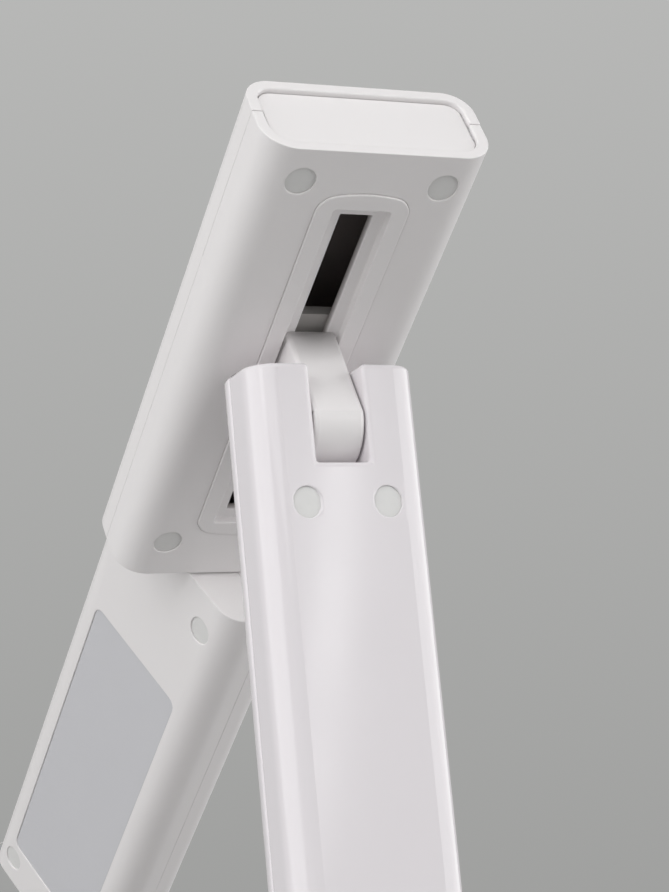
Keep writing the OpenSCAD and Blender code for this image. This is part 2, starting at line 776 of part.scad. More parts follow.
module base_shell() color(white) difference() {
  union() {
    difference() {
      base_form(0, base_h);
      base_form(base_wall, base_inner_top);
      translate([0, 0, -eps]) linear_extrude(grip_top + 2 * eps) base_outline(base_wall);
    }
    base_screw_places() translate([0, 0, cover_top])
      cylinder(r = slim_post_r, h = base_inner_top - cover_top + eps);
    control_post_places() translate([0, 0, control_top])
      cylinder(r = small_post_r, h = base_inner_top - control_top + eps);
  }
  base_screw_places() cylinder(r = screw_r + bore_gap, h = base_inner_top - wall);
  control_post_places() cylinder(r = small_screw_r + bore_gap, h = base_inner_top);
  translate([0, button_y, 0]) cylinder(r = button_r + slide_gap, h = base_h + eps);
  block(
    [-notch_w / 2, foot_y - notch_past, base_inner_top - eps],
    [notch_w / 2, foot_y + notch_past, base_h + eps]
  );
  inlet_place() block(
    [-inlet_w / 2 - seat_gap, -inlet_d, -seat_gap],
    [inlet_w / 2 + seat_gap, eps, inlet_h + seat_gap]
  );
}

module base_cover() color("gainsboro") difference() {
  through(grip_top, cover_top) base_outline(base_wall + seat_gap);
  base_screw_places() {
    cylinder(r = screw_r + bore_gap, h = base_h);
    cylinder(r = screw_head_r + seat_gap, h = grip_top + flat_head_t + seat_gap);
  }
}

module grip_pad() color("dimgray") through(0, grip_top) base_outline(grip_inset);

module ballast_plate() color("slategray") difference() {
  through(cover_top, ballast_top) plate(ballast_w, -ballast_d / 2, ballast_d / 2, ballast_r);
  bracket_screw_places() {
    cylinder(r = screw_r + bore_gap, h = base_h);
    cylinder(r = screw_head_r + seat_gap, h = cover_top + screw_head_t + seat_gap);
  }
}

module base_screws() color("silver") base_screw_places() {
  translate([0, 0, grip_top + seat_gap]) cylinder(r = screw_head_r, h = flat_head_t);
  translate([0, 0, grip_top + seat_gap]) cylinder(r = screw_r, h = base_screw_len);
}

// The foot bracket stands on the ballast and carries the arm's lower hinge.
module foot_bracket() color(white) difference() {
  union() {
    translate([0, foot_y, foot_z]) cross_bar(knuckle_r, tongue_w);
    translate([0, foot_y, 0]) {
      block([-tongue_w / 2, -knuckle_r, ballast_top], [tongue_w / 2, knuckle_r, foot_z]);
      through(ballast_top, ballast_top + bracket_t) square([bracket_w, bracket_d], center = true);
    }
  }
  translate([0, foot_y, foot_z]) cross_bar(pin_r + bore_gap, tongue_w + 2 * eps);
  bracket_screw_places() cylinder(r = screw_r + bore_gap, h = base_h);
}
module bracket_screws() color("silver") bracket_screw_places() {
  translate([0, 0, cover_top + seat_gap]) cylinder(r = screw_head_r, h = screw_head_t);
  translate([0, 0, cover_top + seat_gap]) cylinder(r = screw_r, h = ballast_t + bracket_t - slide_gap);
}

module control_board() color("seagreen") difference() {
  translate([0, button_y, 0]) union() {
    through(control_bottom, control_top) plate(control_w, -control_d / 2, control_d / 2, control_r);
    block(
      [0, -control_tab_w / 2, control_bottom],
      [base_w / 2 - base_wall - seat_gap, control_tab_w / 2, control_top]
    );
  }
  control_post_places() cylinder(r = small_screw_r + bore_gap, h = base_h);
}
module control_screws() color("silver") control_post_places() {
  translate([0, 0, control_bottom - flat_head_t]) cylinder(r = small_head_r, h = flat_head_t);
  translate([0, 0, control_bottom]) cylinder(r = small_screw_r, h = control_t + wall);
}
module push_switch() color("#303234") translate([0, button_y, 0])
  through(control_top, switch_top) square(switch_w, center = true);
module power_button() color("#e4e4e6") translate([0, button_y, button_flange_top - button_lip_t]) {
  cylinder(r = button_r, h = base_h + button_proud - button_flange_top + button_lip_t);
  cylinder(r = button_r + button_lip, h = button_lip_t);
}

// The inlet stands on the board's edge and looks out of the base's right side.
module inlet_place() translate([base_w / 2, button_y, control_top]) rotate([0, 0, -90]) children();
module power_inlet() color("silver") inlet_place() difference() {
  half = inlet_w / 2;
  block([-half, -inlet_d, 0], [half, -seat_gap, inlet_h]);
  block(
    [inlet_wall - half, inlet_wall - inlet_d, inlet_wall],
    [half - inlet_wall, eps, inlet_h - inlet_wall]
  );
}

module battery_pack() color("#9fb4c8") translate([0, battery_y, 0])
  through(ballast_top, ballast_top + battery_t)
    plate(battery_w, -battery_d / 2, battery_d / 2, battery_r);

base_shell();
base_cover();
grip_pad();
ballast_plate();
base_screws();
foot_bracket();
bracket_screws();
control_board();
control_screws();
push_switch();
power_button();
power_inlet();
battery_pack();
arm_front_shell();
arm_back_shell();
arm_steel_frame();
arm_screws();
arm_screw_caps();
foot_hinge_pin();
foot_hinge_nut();
foot_washers();
top_hinge_pin();
top_hinge_nut();
top_washers();
tongue();
slide_carriage();
carriage_screws();
brake_pads();
bar_front_shell();
bar_back_shell();
slot_frame();
bar_end_cap();
bar_screws();
bar_screw_caps();
swivel_bush();
thrust_ring();
head_front_shell();
head_back_shell();
head_end_cap();
head_screws();
head_screw_caps();
swivel_shaft();
swivel_nut();
swivel_spring_washer();
diffuser();
reflector();
light_board();
light_chips();
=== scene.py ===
"""Folding LED desk lamp: shells, trims, finishes and studio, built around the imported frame.

Every length is in metres. A part's own axes are x across, l along it and n in from its
front face. Surfaces are worked out in those axes as whole arrays, then placed.
"""

import collections
import json
import math

import bmesh
import bpy
import mathutils
import numpy as np
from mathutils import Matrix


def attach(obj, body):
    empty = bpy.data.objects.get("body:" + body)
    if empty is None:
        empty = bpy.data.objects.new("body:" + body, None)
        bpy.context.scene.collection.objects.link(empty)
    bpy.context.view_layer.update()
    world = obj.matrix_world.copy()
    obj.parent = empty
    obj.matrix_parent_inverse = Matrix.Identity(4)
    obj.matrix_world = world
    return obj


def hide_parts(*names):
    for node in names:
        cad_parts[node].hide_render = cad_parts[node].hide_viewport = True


bl_info = {
    "name": "Folding Desk Lamp",
    "version": (1, 0, 0),
    "blender": (4, 5, 0),
    "location": "View3D > Sidebar > Desk Lamp",
    "description": "Builds the shells, trims and finishes of a folding desk lamp around its frame",
    "category": "Object",
}

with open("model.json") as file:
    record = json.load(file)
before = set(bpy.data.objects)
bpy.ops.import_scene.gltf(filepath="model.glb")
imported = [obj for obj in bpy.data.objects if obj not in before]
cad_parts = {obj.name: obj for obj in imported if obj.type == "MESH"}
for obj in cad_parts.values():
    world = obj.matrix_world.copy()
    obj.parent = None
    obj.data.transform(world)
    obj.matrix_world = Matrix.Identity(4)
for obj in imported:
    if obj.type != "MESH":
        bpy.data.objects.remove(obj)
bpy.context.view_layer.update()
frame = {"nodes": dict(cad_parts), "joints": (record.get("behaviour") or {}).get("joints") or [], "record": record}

# The camera: its place and nearest depth in metres, its turns in degrees, and its lens and
# sensor in millimetres
CAMERA_PLACE = (-0.24219, -0.55029, 0.29550)
CAMERA_AZIMUTH = 24.05
CAMERA_PITCH = 0.16
CAMERA_ROLL = 0.04
LENS = 94.3
SENSOR = 36.0
CLIP_START = 0.05

# How the grids are cut up: margins round a window and a screw hole, steps across and along,
# the shares of the way at which an end wall and a notch's wall have their rows, how many
# radii a row lies from a rounded edge, the cells to a metre in which points join and how
# they are shifted, and a length that counts as none
WINDOW_MARGIN = 0.0012
HOLE_MARGIN = 0.00105
SHELL_PITCH = (0.0011, 0.0022)
ARM_PITCH = (0.0012, 0.003)
END_ROWS = np.array([0.04, 0.35, 0.7, 1.0])
NOTCH_ROWS = np.linspace(0, 1, 7)
EDGE_ROOM = 1.4
WELD_CELLS = 1e6
WELD_SHIFT = 0.1234
TINY = 1e-6

# Where a form turns off: the step behind an end cap's face, the stretches before the wall
# at the swivel, beside a notch and before the arm's round foot, how far the neck reaches
# into the tongue, and the share of the way that two rows lie apart at the tongue's crease
CAP_STEP = 0.0006
WALL_STRETCH = 0.008
NOTCH_STRETCH = 0.005
FOOT_STRETCH = 0.006
NECK_ROOT = 0.0004
CREASE_SHARE = 0.015

# How edges are rounded: the least turn of an edge in degrees, on new pieces and on the
# frame's solids, the turn that still counts as flat, the segments of a bevel, the weight of
# large faces in the shading, the share that edges inside a shell take, and how far the
# parting plane and a small hole reach
BEVEL_LIMIT = 55.0
SOLID_LIMIT = 50.0
FLAT_LIMIT = 1.0
BEVEL_SEGMENTS = 3
NORMAL_WEIGHT = 50
INNER_SHARE = 0.1
SEAM_REACH = 0.0001
HOLE_REACH = 0.0002

# The span in which nearly all of a noise texture's values lie
NOISE_SPAN = (0.3, 0.7)

# The studio: the sine of the view's angle at the picture's upper and lower edge, the floor's
# half side and fade, and the even fill
VIEW_EDGE = 0.187
FLOOR_HALF = 12.0
FADE_FROM = 0.45
FADE_TO = 0.9
FLOOR_COLOUR = (0.43, 0.43, 0.425)
FILL_COLOUR = (1.0, 1.0, 1.0)
FILL_LEVEL = 0.06

# Lamps: name, shape, place, target, width, height, power in watts and lean in degrees
LAMPS = [
    ("top_softbox", "RECTANGLE", (-0.5, -0.9, 1.7), (0.0, 0.05, 0.3), 2.0, 2.0, 19.5, 0.0),
    ("left_softbox", "RECTANGLE", (-1.9, -0.2, 0.9), (0.0, 0.05, 0.25), 3.0, 1.75, 32.5, 0.0),
    ("right_softbox", "RECTANGLE", (2.2, -0.75, 0.75), (0.0, 0.0, 0.25), 3.8, 1.9, 56.0, 0.0),
    ("window_strip", "ELLIPSE", (0.600, -1.265, 0.813), (0.0, -0.02, 0.269), 0.034, 0.6, 0.24, -15.0),
]


def joint(name):
    """The frame's record of one joint."""
    return next(j for j in frame["joints"] if j["name"] == name)


def mesh_points(mesh):
    """All points of a mesh, one a row."""
    flat = np.empty(len(mesh.vertices) * 3)
    mesh.vertices.foreach_get("co", flat)
    return flat.reshape(-1, 3)


class Place:
    """A part's own axes: the point (x, l, n) lies at origin + x across + l along + n deep."""

    def __init__(self, pivot, along, turn=0.0, corner=None):
        across = np.array([1.0, 0.0, 0.0])
        along = np.array(along, float) / np.linalg.norm(along)
        deep = np.cross(across, along)
        turned = across * math.cos(turn) - deep * math.sin(turn)
        self.axes = np.array([turned, along, across * math.sin(turn) + deep * math.cos(turn)])
        self.origin = np.array(pivot, float)
        if corner:
            low, _ = self.box(corner)
            self.origin = self.origin + low[1] * self.axes[1] + low[2] * self.axes[2]

    def world(self, points):
        """Points of this part in the frame's axes."""
        return self.origin + points @ self.axes

    def own(self, points):
        """Points of the frame in this part's own axes."""
        return (points - self.origin) @ self.axes.T

    def box(self, node):
        """Lowest and highest corner of one of the frame's solids in this part's own axes."""
        points = self.own(mesh_points(frame["nodes"][node].data))
        return points.min(0), points.max(0)


slide_way = joint("bar_slide")["axis"]
top_pin = np.array(joint("top_hinge")["pos_m"])
foot_pin = np.array(joint("foot_hinge")["pos_m"])
head_turn = -math.radians(joint("head_swivel")["range_deg"][0])

BAR = Place(top_pin, slide_way, corner="bar_front_shell")
HEAD = Place(joint("head_swivel")["pos_m"], slide_way, head_turn, "head_front_shell")
ARM = Place(top_pin, foot_pin - top_pin, corner="arm_front_shell")
PLACES = {"bar": BAR, "head": HEAD, "arm": ARM}


class LampSizes(bpy.types.PropertyGroup):
    """Sizes that only the looks need; every other size is read from the frame."""

    front_corner: bpy.props.FloatProperty(
        name="Front corner", description="Radius beside the slotted face and the diffuser",
        default=0.009, unit="LENGTH")
    back_corner: bpy.props.FloatProperty(
        name="Back corner", description="Radius at the back of the bar and the head",
        default=0.0075, unit="LENGTH")
    arm_front_corner: bpy.props.FloatProperty(
        name="Arm front corner", description="Radius of the arm's front corners",
        default=0.0072, unit="LENGTH")
    arm_back_corner: bpy.props.FloatProperty(
        name="Arm back corner", description="Radius of the arm's back corners",
        default=0.007, unit="LENGTH")
    wall: bpy.props.FloatProperty(
        name="Wall", description="Thickness of the moulded shells",
        default=0.0022, unit="LENGTH")
    end_wall: bpy.props.FloatProperty(
        name="End wall", description="Thickness of the wall at the swivel",
        default=0.0025, unit="LENGTH")
    rim: bpy.props.FloatProperty(
        name="Rim", description="Width of the rim that stands round an end cap",
        default=0.003, unit="LENGTH")
    cheek: bpy.props.FloatProperty(
        name="Cheek", description="Thickness of the wall beside a hinge notch",
        default=0.002, unit="LENGTH")
    arch: bpy.props.FloatProperty(
        name="Arch", description="Rise of the arched ends of the slot's frame",
        default=0.0022, unit="LENGTH")
    tongue_round: bpy.props.FloatProperty(
        name="Tongue edge", description="Radius of the tongue's long edges",
        default=0.0013, unit="LENGTH")
    shell_round: bpy.props.FloatProperty(
        name="Shell edge", description="Radius of the moulded edges of the bar and the head",
        default=0.00028, unit="LENGTH")
    arm_round: bpy.props.FloatProperty(
        name="Arm edge", description="Radius of the arm's moulded edges",
        default=0.0011, unit="LENGTH")
    seam: bpy.props.FloatProperty(
        name="Seam", description="Gap that shows between two shells",
        default=0.00011, unit="LENGTH")
    arm_seam: bpy.props.FloatProperty(
        name="Arm seam", description="Gap that shows between the arm's two shells",
        default=0.0002, unit="LENGTH")
    seam_round: bpy.props.FloatProperty(
        name="Seam edge", description="Radius of the edges along the seam between two shells",
        default=0.00008, unit="LENGTH")
    rim_step: bpy.props.FloatProperty(
        name="Rim step", description="How far the front shell's rim stays behind the back one's",
        default=0.00025, unit="LENGTH")
    cap_sink: bpy.props.FloatProperty(
        name="End cap sink", description="Depth of an end cap's face inside its rim",
        default=0.0013, unit="LENGTH")
    cap_face: bpy.props.FloatProperty(
        name="End cap face", description="Thickness of an end cap inside the rim",
        default=0.0032, unit="LENGTH")
    cap_flange: bpy.props.FloatProperty(
        name="End cap flange", description="Thickness of an end cap's flange",
        default=0.0015, unit="LENGTH")
    cap_line: bpy.props.FloatProperty(
        name="End cap line", description="Gap that shows round an end cap",
        default=0.00013, unit="LENGTH")
    cap_shift: bpy.props.FloatProperty(
        name="End cap shift", description="How far an end cap's face sits towards the front",
        default=0.0001, unit="LENGTH")
    cap_radius: bpy.props.FloatProperty(
        name="Screw cap", description="Radius of a screw cap",
        default=0.00405, unit="LENGTH")
    cap_gap: bpy.props.FloatProperty(
        name="Screw cap gap", description="Gap round a screw cap",
        default=0.00002, unit="LENGTH")
    cap_down: bpy.props.FloatProperty(
        name="Screw cap depth", description="How far a screw cap sits below its solid's top",
        default=0.0003, unit="LENGTH")
    rim_round: bpy.props.FloatProperty(
        name="Rim edge", description="Radius of the inner edge of an end's rim",
        default=0.00055, unit="LENGTH")
    hole_round: bpy.props.FloatProperty(
        name="Cap hole edge", description="Radius of the edge round a screw cap's hole",
        default=0.0003, unit="LENGTH")
    cap_round: bpy.props.FloatProperty(
        name="Screw cap edge", description="Radius of a screw cap's rim",
        default=0.00005, unit="LENGTH")
    cap_dome: bpy.props.FloatProperty(
        name="Screw cap dome", description="Rise of a screw cap's middle over its rim",
        default=0.00006, unit="LENGTH")
    window_gap: bpy.props.FloatProperty(
        name="Window gap", description="Gap round the slot frame and the diffuser",
        default=0.00003, unit="LENGTH")
    swivel_hole: bpy.props.FloatProperty(
        name="Swivel hole", description="Radius of the hole in the end walls at the swivel",
        default=0.00805, unit="LENGTH")
    frame_lip: bpy.props.FloatProperty(
        name="Slot frame lip", description="Width of the slot frame's lip behind the shell",
        default=0.0013, unit="LENGTH")
    frame_end: bpy.props.FloatProperty(
        name="Slot frame end", description="From the end of the slot frame to its recess",
        default=0.0052, unit="LENGTH")
    frame_radius: bpy.props.FloatProperty(
        name="Slot frame corner", description="Corner radius of the slot frame",
        default=0.004, unit="LENGTH")
    recess_width: bpy.props.FloatProperty(
        name="Recess width", description="Width of the slot's recess",
        default=0.016, unit="LENGTH")
    recess_depth: bpy.props.FloatProperty(
        name="Recess depth", description="Depth of the recess from the bar's front",
        default=0.002, unit="LENGTH")
    recess_radius: bpy.props.FloatProperty(
        name="Recess corner", description="Corner radius of the recess and the track",
        default=0.001, unit="LENGTH")
    track_radius: bpy.props.FloatProperty(
        name="Track corner", description="Corner radius of the slot's narrow track",
        default=0.0003, unit="LENGTH")
    track_width: bpy.props.FloatProperty(
        name="Track width", description="Width of the slot that the neck runs in",
        default=0.0088, unit="LENGTH")
    track_end: bpy.props.FloatProperty(
        name="Track end", description="From the end of the recess to the track",
        default=0.0032, unit="LENGTH")
    diffuser_lip: bpy.props.FloatProperty(
        name="Diffuser lip", description="Width of the diffuser's lip behind the shell",
        default=0.0012, unit="LENGTH")
    diffuser_radius: bpy.props.FloatProperty(
        name="Diffuser corner", description="Corner radius of the diffuser",
        default=0.003, unit="LENGTH")
    lens_round: bpy.props.FloatProperty(
        name="Diffuser edge", description="Radius of the diffuser's edge",
        default=0.00012, unit="LENGTH")
    trim_round: bpy.props.FloatProperty(
        name="Slot frame edge", description="Radius of the slot frame's edges",
        default=0.0004, unit="LENGTH")
    base_round: bpy.props.FloatProperty(
        name="Base edge", description="Radius of the base's moulded edges",
        default=0.0005, unit="LENGTH")
    neck_width: bpy.props.FloatProperty(
        name="Neck width", description="Width of the tongue's neck in the track",
        default=0.0082, unit="LENGTH")
    neck_half: bpy.props.FloatProperty(
        name="Neck half", description="Half length of the tongue's neck",
        default=0.009, unit="LENGTH")
    slide_gap: bpy.props.FloatProperty(
        name="Slide gap", description="Gap between the tongue and the recess",
        default=0.0002, unit="LENGTH")
    tongue_crease: bpy.props.FloatProperty(
        name="Tongue crease", description="From the hinge axis to the crease of the tongue",
        default=0.00565, unit="LENGTH")
    notch_width: bpy.props.FloatProperty(
        name="Notch width", description="Width of the notches at the arm's ends",
        default=0.0148, unit="LENGTH")
    notch_gap: bpy.props.FloatProperty(
        name="Notch gap", description="Gap between a hinge's knuckle and its notch",
        default=0.0004, unit="LENGTH")


class LampColours(bpy.types.PropertyGroup):
    """Colours of the finishes, as linear light."""

    white: bpy.props.FloatVectorProperty(
        name="White", description="Moulded white plastic of the bar and the head",
        subtype="COLOR", default=(0.86, 0.838, 0.838))
    arm_white: bpy.props.FloatVectorProperty(
        name="Arm white", description="Glossy white plastic of the arm",
        subtype="COLOR", default=(0.80, 0.767, 0.790))
    cap: bpy.props.FloatVectorProperty(
        name="Screw cap", description="Soft silicone of the screw caps",
        subtype="COLOR", default=(0.755, 0.752, 0.742))
    milk: bpy.props.FloatVectorProperty(
        name="Diffuser", description="Milky plastic of the diffuser",
        subtype="COLOR", default=(0.63, 0.63, 0.655))
    # Painted shade: the inside colour replaces the white on the bar's hollow inside and on the slot's track,
    # standing in for the shade where hardly any light gets in
    inside: bpy.props.FloatVectorProperty(
        name="Inside", description="Tone of the bar's inside, where hardly any light gets in",
        subtype="COLOR", default=(0.36, 0.32, 0.31))
    backdrop_high: bpy.props.FloatVectorProperty(
        name="Backdrop, high", description="Grey of the backdrop at the top of the picture",
        subtype="COLOR", default=(0.473, 0.475, 0.468))
    backdrop_low: bpy.props.FloatVectorProperty(
        name="Backdrop, low", description="Grey of the backdrop at the foot of the picture",
        subtype="COLOR", default=(0.352, 0.354, 0.348))


def sizes():
    """The scene's own sizes."""
    return bpy.context.scene.lamp_sizes


def colours():
    """The scene's own colours."""
    return bpy.context.scene.lamp_colours


# Arrays of points

def steps(stops, counts):
    """Values that run through the stops, with a count of even steps between each pair."""
    runs = [np.linspace(a, b, c, endpoint=False) for a, b, c in zip(stops, stops[1:], counts)]
    return np.concatenate(runs + [[stops[-1]]])


def filled(marks, pitch):
    """The marks in order without repeats, with even steps of about the pitch between them."""
    marks = np.sort(marks)
    marks = marks[np.diff(marks, prepend=-1.0) > TINY]
    counts = np.maximum(np.round(np.diff(marks) / pitch), 1).astype(int)
    return steps(list(marks), list(counts))


def stretched(values, start, last, end):
    """The same values up to the start, and past it drawn out so that the last one lands on
    the end: start + (value - start) / (last - start) * (end - start)."""
    return np.where(
        values > start, start + (values - start) / (last - start) * (end - start), values)


def mirrored(values):
    """The same positive values on both sides of zero, in rising order."""
    return np.concatenate([-values[:0:-1], values])


def on_round_box(points, centre, half, radius, arch=0.0):
    """The nearest point of a rounded box's outline: each point is clamped to the box of the
    corner centres, then moved out by the radius. An arch draws both ends to a shallow curve:
    a point moves towards the middle by arch times the square of its share of the half width."""
    offset = points - centre
    core = np.asarray(half) - radius
    inner = np.clip(offset, -core, core)
    away = offset - inner
    away = away / np.linalg.norm(away, axis=-1, keepdims=True)
    out = inner + radius * away
    share = out[..., 0] / half[0]
    end = out[..., 1] / half[1]
    out[..., 1] -= arch * share**2 * end
    return centre + out


def loop_round(us, ls):
    """The closed loop of grid points round a rectangle, from its sorted columns and rows."""
    low, high = ls[0], ls[-1]
    left, right = us[0], us[-1]
    parts = [
        np.stack([us[:-1], np.full(len(us) - 1, low)], -1),
        np.stack([np.full(len(ls) - 1, right), ls[:-1]], -1),
        np.stack([us[:0:-1], np.full(len(us) - 1, high)], -1),
        np.stack([np.full(len(ls) - 1, left), ls[:0:-1]], -1),
    ]
    loop = np.concatenate(parts)
    return np.concatenate([loop, loop[:1]])


class Wrap:
    """A shell's face, unrolled. u runs across the face from its middle and on round both
    corners, l runs along, and d goes in square to the surface. The face is flat, then an arc
    of the corner's radius, then a flat side: x = flat + r sin(turn) - d sin(turn) and
    n = r (1 - cos(turn)) + rise + d cos(turn)."""

    def __init__(self, width, radius, part, thick=None):
        self.flat = width / 2 - radius
        self.radius = radius
        self.arc = radius * math.pi / 2
        self.edge = self.flat + self.arc + part - radius
        self.thick = thick

    def __call__(self, u, l, d):
        u, l, d = np.broadcast_arrays(u, l, d)
        reach = np.abs(u)
        flat = np.minimum(reach, self.flat)
        turn = np.clip(reach - self.flat, 0, self.arc) / self.radius
        rise = np.maximum(reach - self.flat - self.arc, 0)
        x = flat + (self.radius - d) * np.sin(turn)
        n = self.radius * (1 - np.cos(turn)) + rise + d * np.cos(turn)
        if self.thick is not None:
            n = self.thick - n
        return np.stack([np.sign(u) * x, l, n], -1)


# Meshes

def grid_quads(rows, columns, keep=None):
    """The four corner numbers of every cell of a grid, or of the cells to keep."""
    number = np.arange(rows * columns).reshape(rows, columns)
    quads = np.stack([number[:-1, :-1], number[:-1, 1:], number[1:, 1:], number[1:, :-1]], -1)
    return quads.reshape(-1, 4) if keep is None else quads[keep]


def welded(points, quads):
    """The same mesh with points that share a place joined, to a thousandth of a millimetre."""
    key = np.floor(points * WELD_CELLS + WELD_SHIFT).astype(np.int64)
    _, first, back = np.unique(key, axis=0, return_index=True, return_inverse=True)
    return points[first], back.reshape(-1)[quads]


def thick_sheet(patches):
    """A closed shell from patches of (outer grid, inner grid, cells to keep). The outer and
    the inner side have the same cells, and a wall joins them along every free edge."""
    pairs, quads, start = [], [], 0
    for outer, inner, keep in patches:
        rows, columns = outer.shape[:2]
        pairs.append(np.concatenate([outer, inner], -1).reshape(-1, 6))
        quads.append(grid_quads(rows, columns, keep) + start)
        start += rows * columns
    pairs, quads = welded(np.concatenate(pairs), np.concatenate(quads))
    count = len(pairs)
    edges = np.stack([quads, np.roll(quads, -1, 1)], -1).reshape(-1, 2)
    edges = edges[edges[:, 0] != edges[:, 1]]
    ordered = np.sort(edges, 1)
    _, back, times = np.unique(ordered, axis=0, return_inverse=True, return_counts=True)
    free = edges[times[back.reshape(-1)] == 1]
    walls = np.stack([free[:, 1], free[:, 0], free[:, 0] + count, free[:, 1] + count], -1)
    faces = np.concatenate([quads, quads[:, ::-1] + count, walls])
    return np.concatenate([pairs[:, :3], pairs[:, 3:]]), faces


def sheet_inside(points):
    """1 on the inner half of a thick sheet's points and 0 on the outer half."""
    return (np.arange(len(points)) >= len(points) // 2).astype(float)


def edge_shares(points, inside, holes, rim_at, edge):
    """The share of a piece's edge radius that each point takes: little inside a sheet, a
    full round inside the rim, and only the holes' own radius round a small hole."""
    share = np.where(inside > 0.5, INNER_SHARE, 1.0)
    if rim_at is not None:
        at_rim = np.abs(points[:, 1] - rim_at) < sizes().rim_step + TINY
        share[at_rim & (inside > 0.5)] = sizes().rim_round / edge
    for hole in holes:
        if hole.half == (hole.radius, hole.radius):
            away = np.hypot(points[:, 0] - hole.centre[0], points[:, 1] - hole.centre[1])
            near = away < hole.radius + HOLE_REACH
            share[near] = np.minimum(share[near], sizes().hole_round / edge)
    return share


def lofted(rows, closed_rows=False, ladder=False):
    """A surface through rows of loops, each a closed loop of as many points. With closed_rows
    the last row joins the first; with ladder the end loops are filled by rungs across."""
    grid = np.stack(rows + rows[:1] if closed_rows else rows)
    count, size = grid.shape[:2]
    quads = [grid_quads(count, size)]
    if ladder:
        step = np.arange(size // 2 - 1)
        rung = np.stack([step, step + 1, size - 3 - step, size - 2 - step], -1)
        quads += [rung[:, ::-1], rung + (count - 1) * size]
    return welded(grid.reshape(-1, 3), np.concatenate(quads))


def joined(parts):
    """Several (points, quads) meshes as one."""
    offsets = np.cumsum([0] + [len(points) for points, _ in parts[:-1]])
    quads = [quads + start for (_, quads), start in zip(parts, offsets)]
    return np.concatenate([points for points, _ in parts]), np.concatenate(quads)


def whole_faces(quads):
    """Faces as lists: a quad whose corners partly share a point becomes a triangle, and one
    that has shrunk to a line is left out."""
    same = (quads == np.roll(quads, -1, 1)).any(1)
    fewer = [list(dict.fromkeys(quad)) for quad in quads[same].tolist()]
    return quads[~same].tolist() + [face for face in fewer if len(face) > 2]


def weigh_edges(mesh, own_n, share, fine_n, fine):
    """Marks the mesh's edges for the bevel: where two faces turn by more than the limit, the
    share that the edge's ends take, and the fine part of it along the parting plane."""
    count = len(mesh.edges)
    ends = np.empty(count * 2, int)
    mesh.edges.foreach_get("vertices", ends)
    ends = ends.reshape(-1, 2)
    loops = np.empty(len(mesh.loops), int)
    mesh.loops.foreach_get("edge_index", loops)
    sides = np.empty(len(mesh.polygons), int)
    mesh.polygons.foreach_get("loop_total", sides)
    normals = np.empty(len(mesh.polygons) * 3)
    mesh.polygons.foreach_get("normal", normals)
    order = np.argsort(loops, kind="stable")
    firsts = np.searchsorted(loops[order], np.arange(count))
    pairs = np.repeat(normals.reshape(-1, 3), sides, 0)[order]
    bend = (pairs[firsts] * pairs[np.minimum(firsts + 1, len(pairs) - 1)]).sum(1)
    weight = (bend < math.cos(math.radians(BEVEL_LIMIT))).astype(float)
    if fine_n is not None:
        along_seam = (np.abs(own_n[ends] - fine_n) < SEAM_REACH).all(1)
        weight[along_seam] *= fine
    weight *= share[ends].max(1)
    layer = mesh.attributes.new("bevel_weight_edge", "FLOAT", "EDGE")
    layer.data.foreach_set("value", weight)


def mark_points(mesh, name, values):
    """Keeps one number a point on the mesh, under a name."""
    mesh.attributes.new(name, "FLOAT", "POINT").data.foreach_set("value", values)


def tidy_mesh(mesh):
    """Joins points that share a place, turns every face outwards and shades it smooth."""
    work = bmesh.new()
    work.from_mesh(mesh)
    bmesh.ops.remove_doubles(work, verts=work.verts, dist=TINY)
    bmesh.ops.recalc_face_normals(work, faces=work.faces)
    work.to_mesh(mesh)
    work.free()
    mesh.shade_smooth()


def add_bevel(piece, place, edge, fine_n):
    """Rounds the piece's edges to the radius, each by the share that its points keep."""
    mesh = piece.data
    kept = np.empty(len(mesh.vertices))
    mesh.attributes["edge_share"].data.foreach_get("value", kept)
    own_n = place.own(mesh_points(mesh))[:, 2]
    weigh_edges(mesh, own_n, kept, fine_n, sizes().seam_round / edge)
    bevel = piece.modifiers.new("rounded edges", "BEVEL")
    bevel.width = edge
    bevel.segments = BEVEL_SEGMENTS
    bevel.limit_method = "WEIGHT"
    bevel.use_clamp_overlap = False


def make_piece(name, body, slot, mesh_data, place, replaces, edge=0.0, fine_n=None,
               sheet=False, holes=(), rim_at=None, painted_shade=None):
    """A new piece in the frame's axes, riding on its body and standing for its solids. Its
    edges are rounded by edge, but finely along the parting plane at fine_n, little on the
    inner half of a sheet, and by their own radii at the rim and round small holes. The
    last argument gives each point's share of the inside tone, a painted shade that stands
    in for the little light inside the bar and its slot."""
    points, quads = mesh_data
    mesh = bpy.data.meshes.new(name)
    mesh.from_pydata(place.world(points), [], whole_faces(quads))
    if edge:
        inside = sheet_inside(points) if sheet else np.zeros(len(points))
        mark_points(mesh, "edge_share", edge_shares(points, inside, holes, rim_at, edge))
    # Painted shade: each point keeps its share of the inside tone
    if painted_shade is not None:
        mark_points(mesh, "painted_shade", painted_shade)
    tidy_mesh(mesh)
    mesh.materials.append(MATERIALS[slot])
    piece = bpy.data.objects.new(name, mesh)
    bpy.context.scene.collection.objects.link(piece)
    if edge:
        add_bevel(piece, place, edge, fine_n)
    weighted = piece.modifiers.new("face weighted normals", "WEIGHTED_NORMAL")
    weighted.keep_sharp = False
    weighted.weight = NORMAL_WEIGHT
    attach(piece, body)
    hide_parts(*replaces)


# Finishes

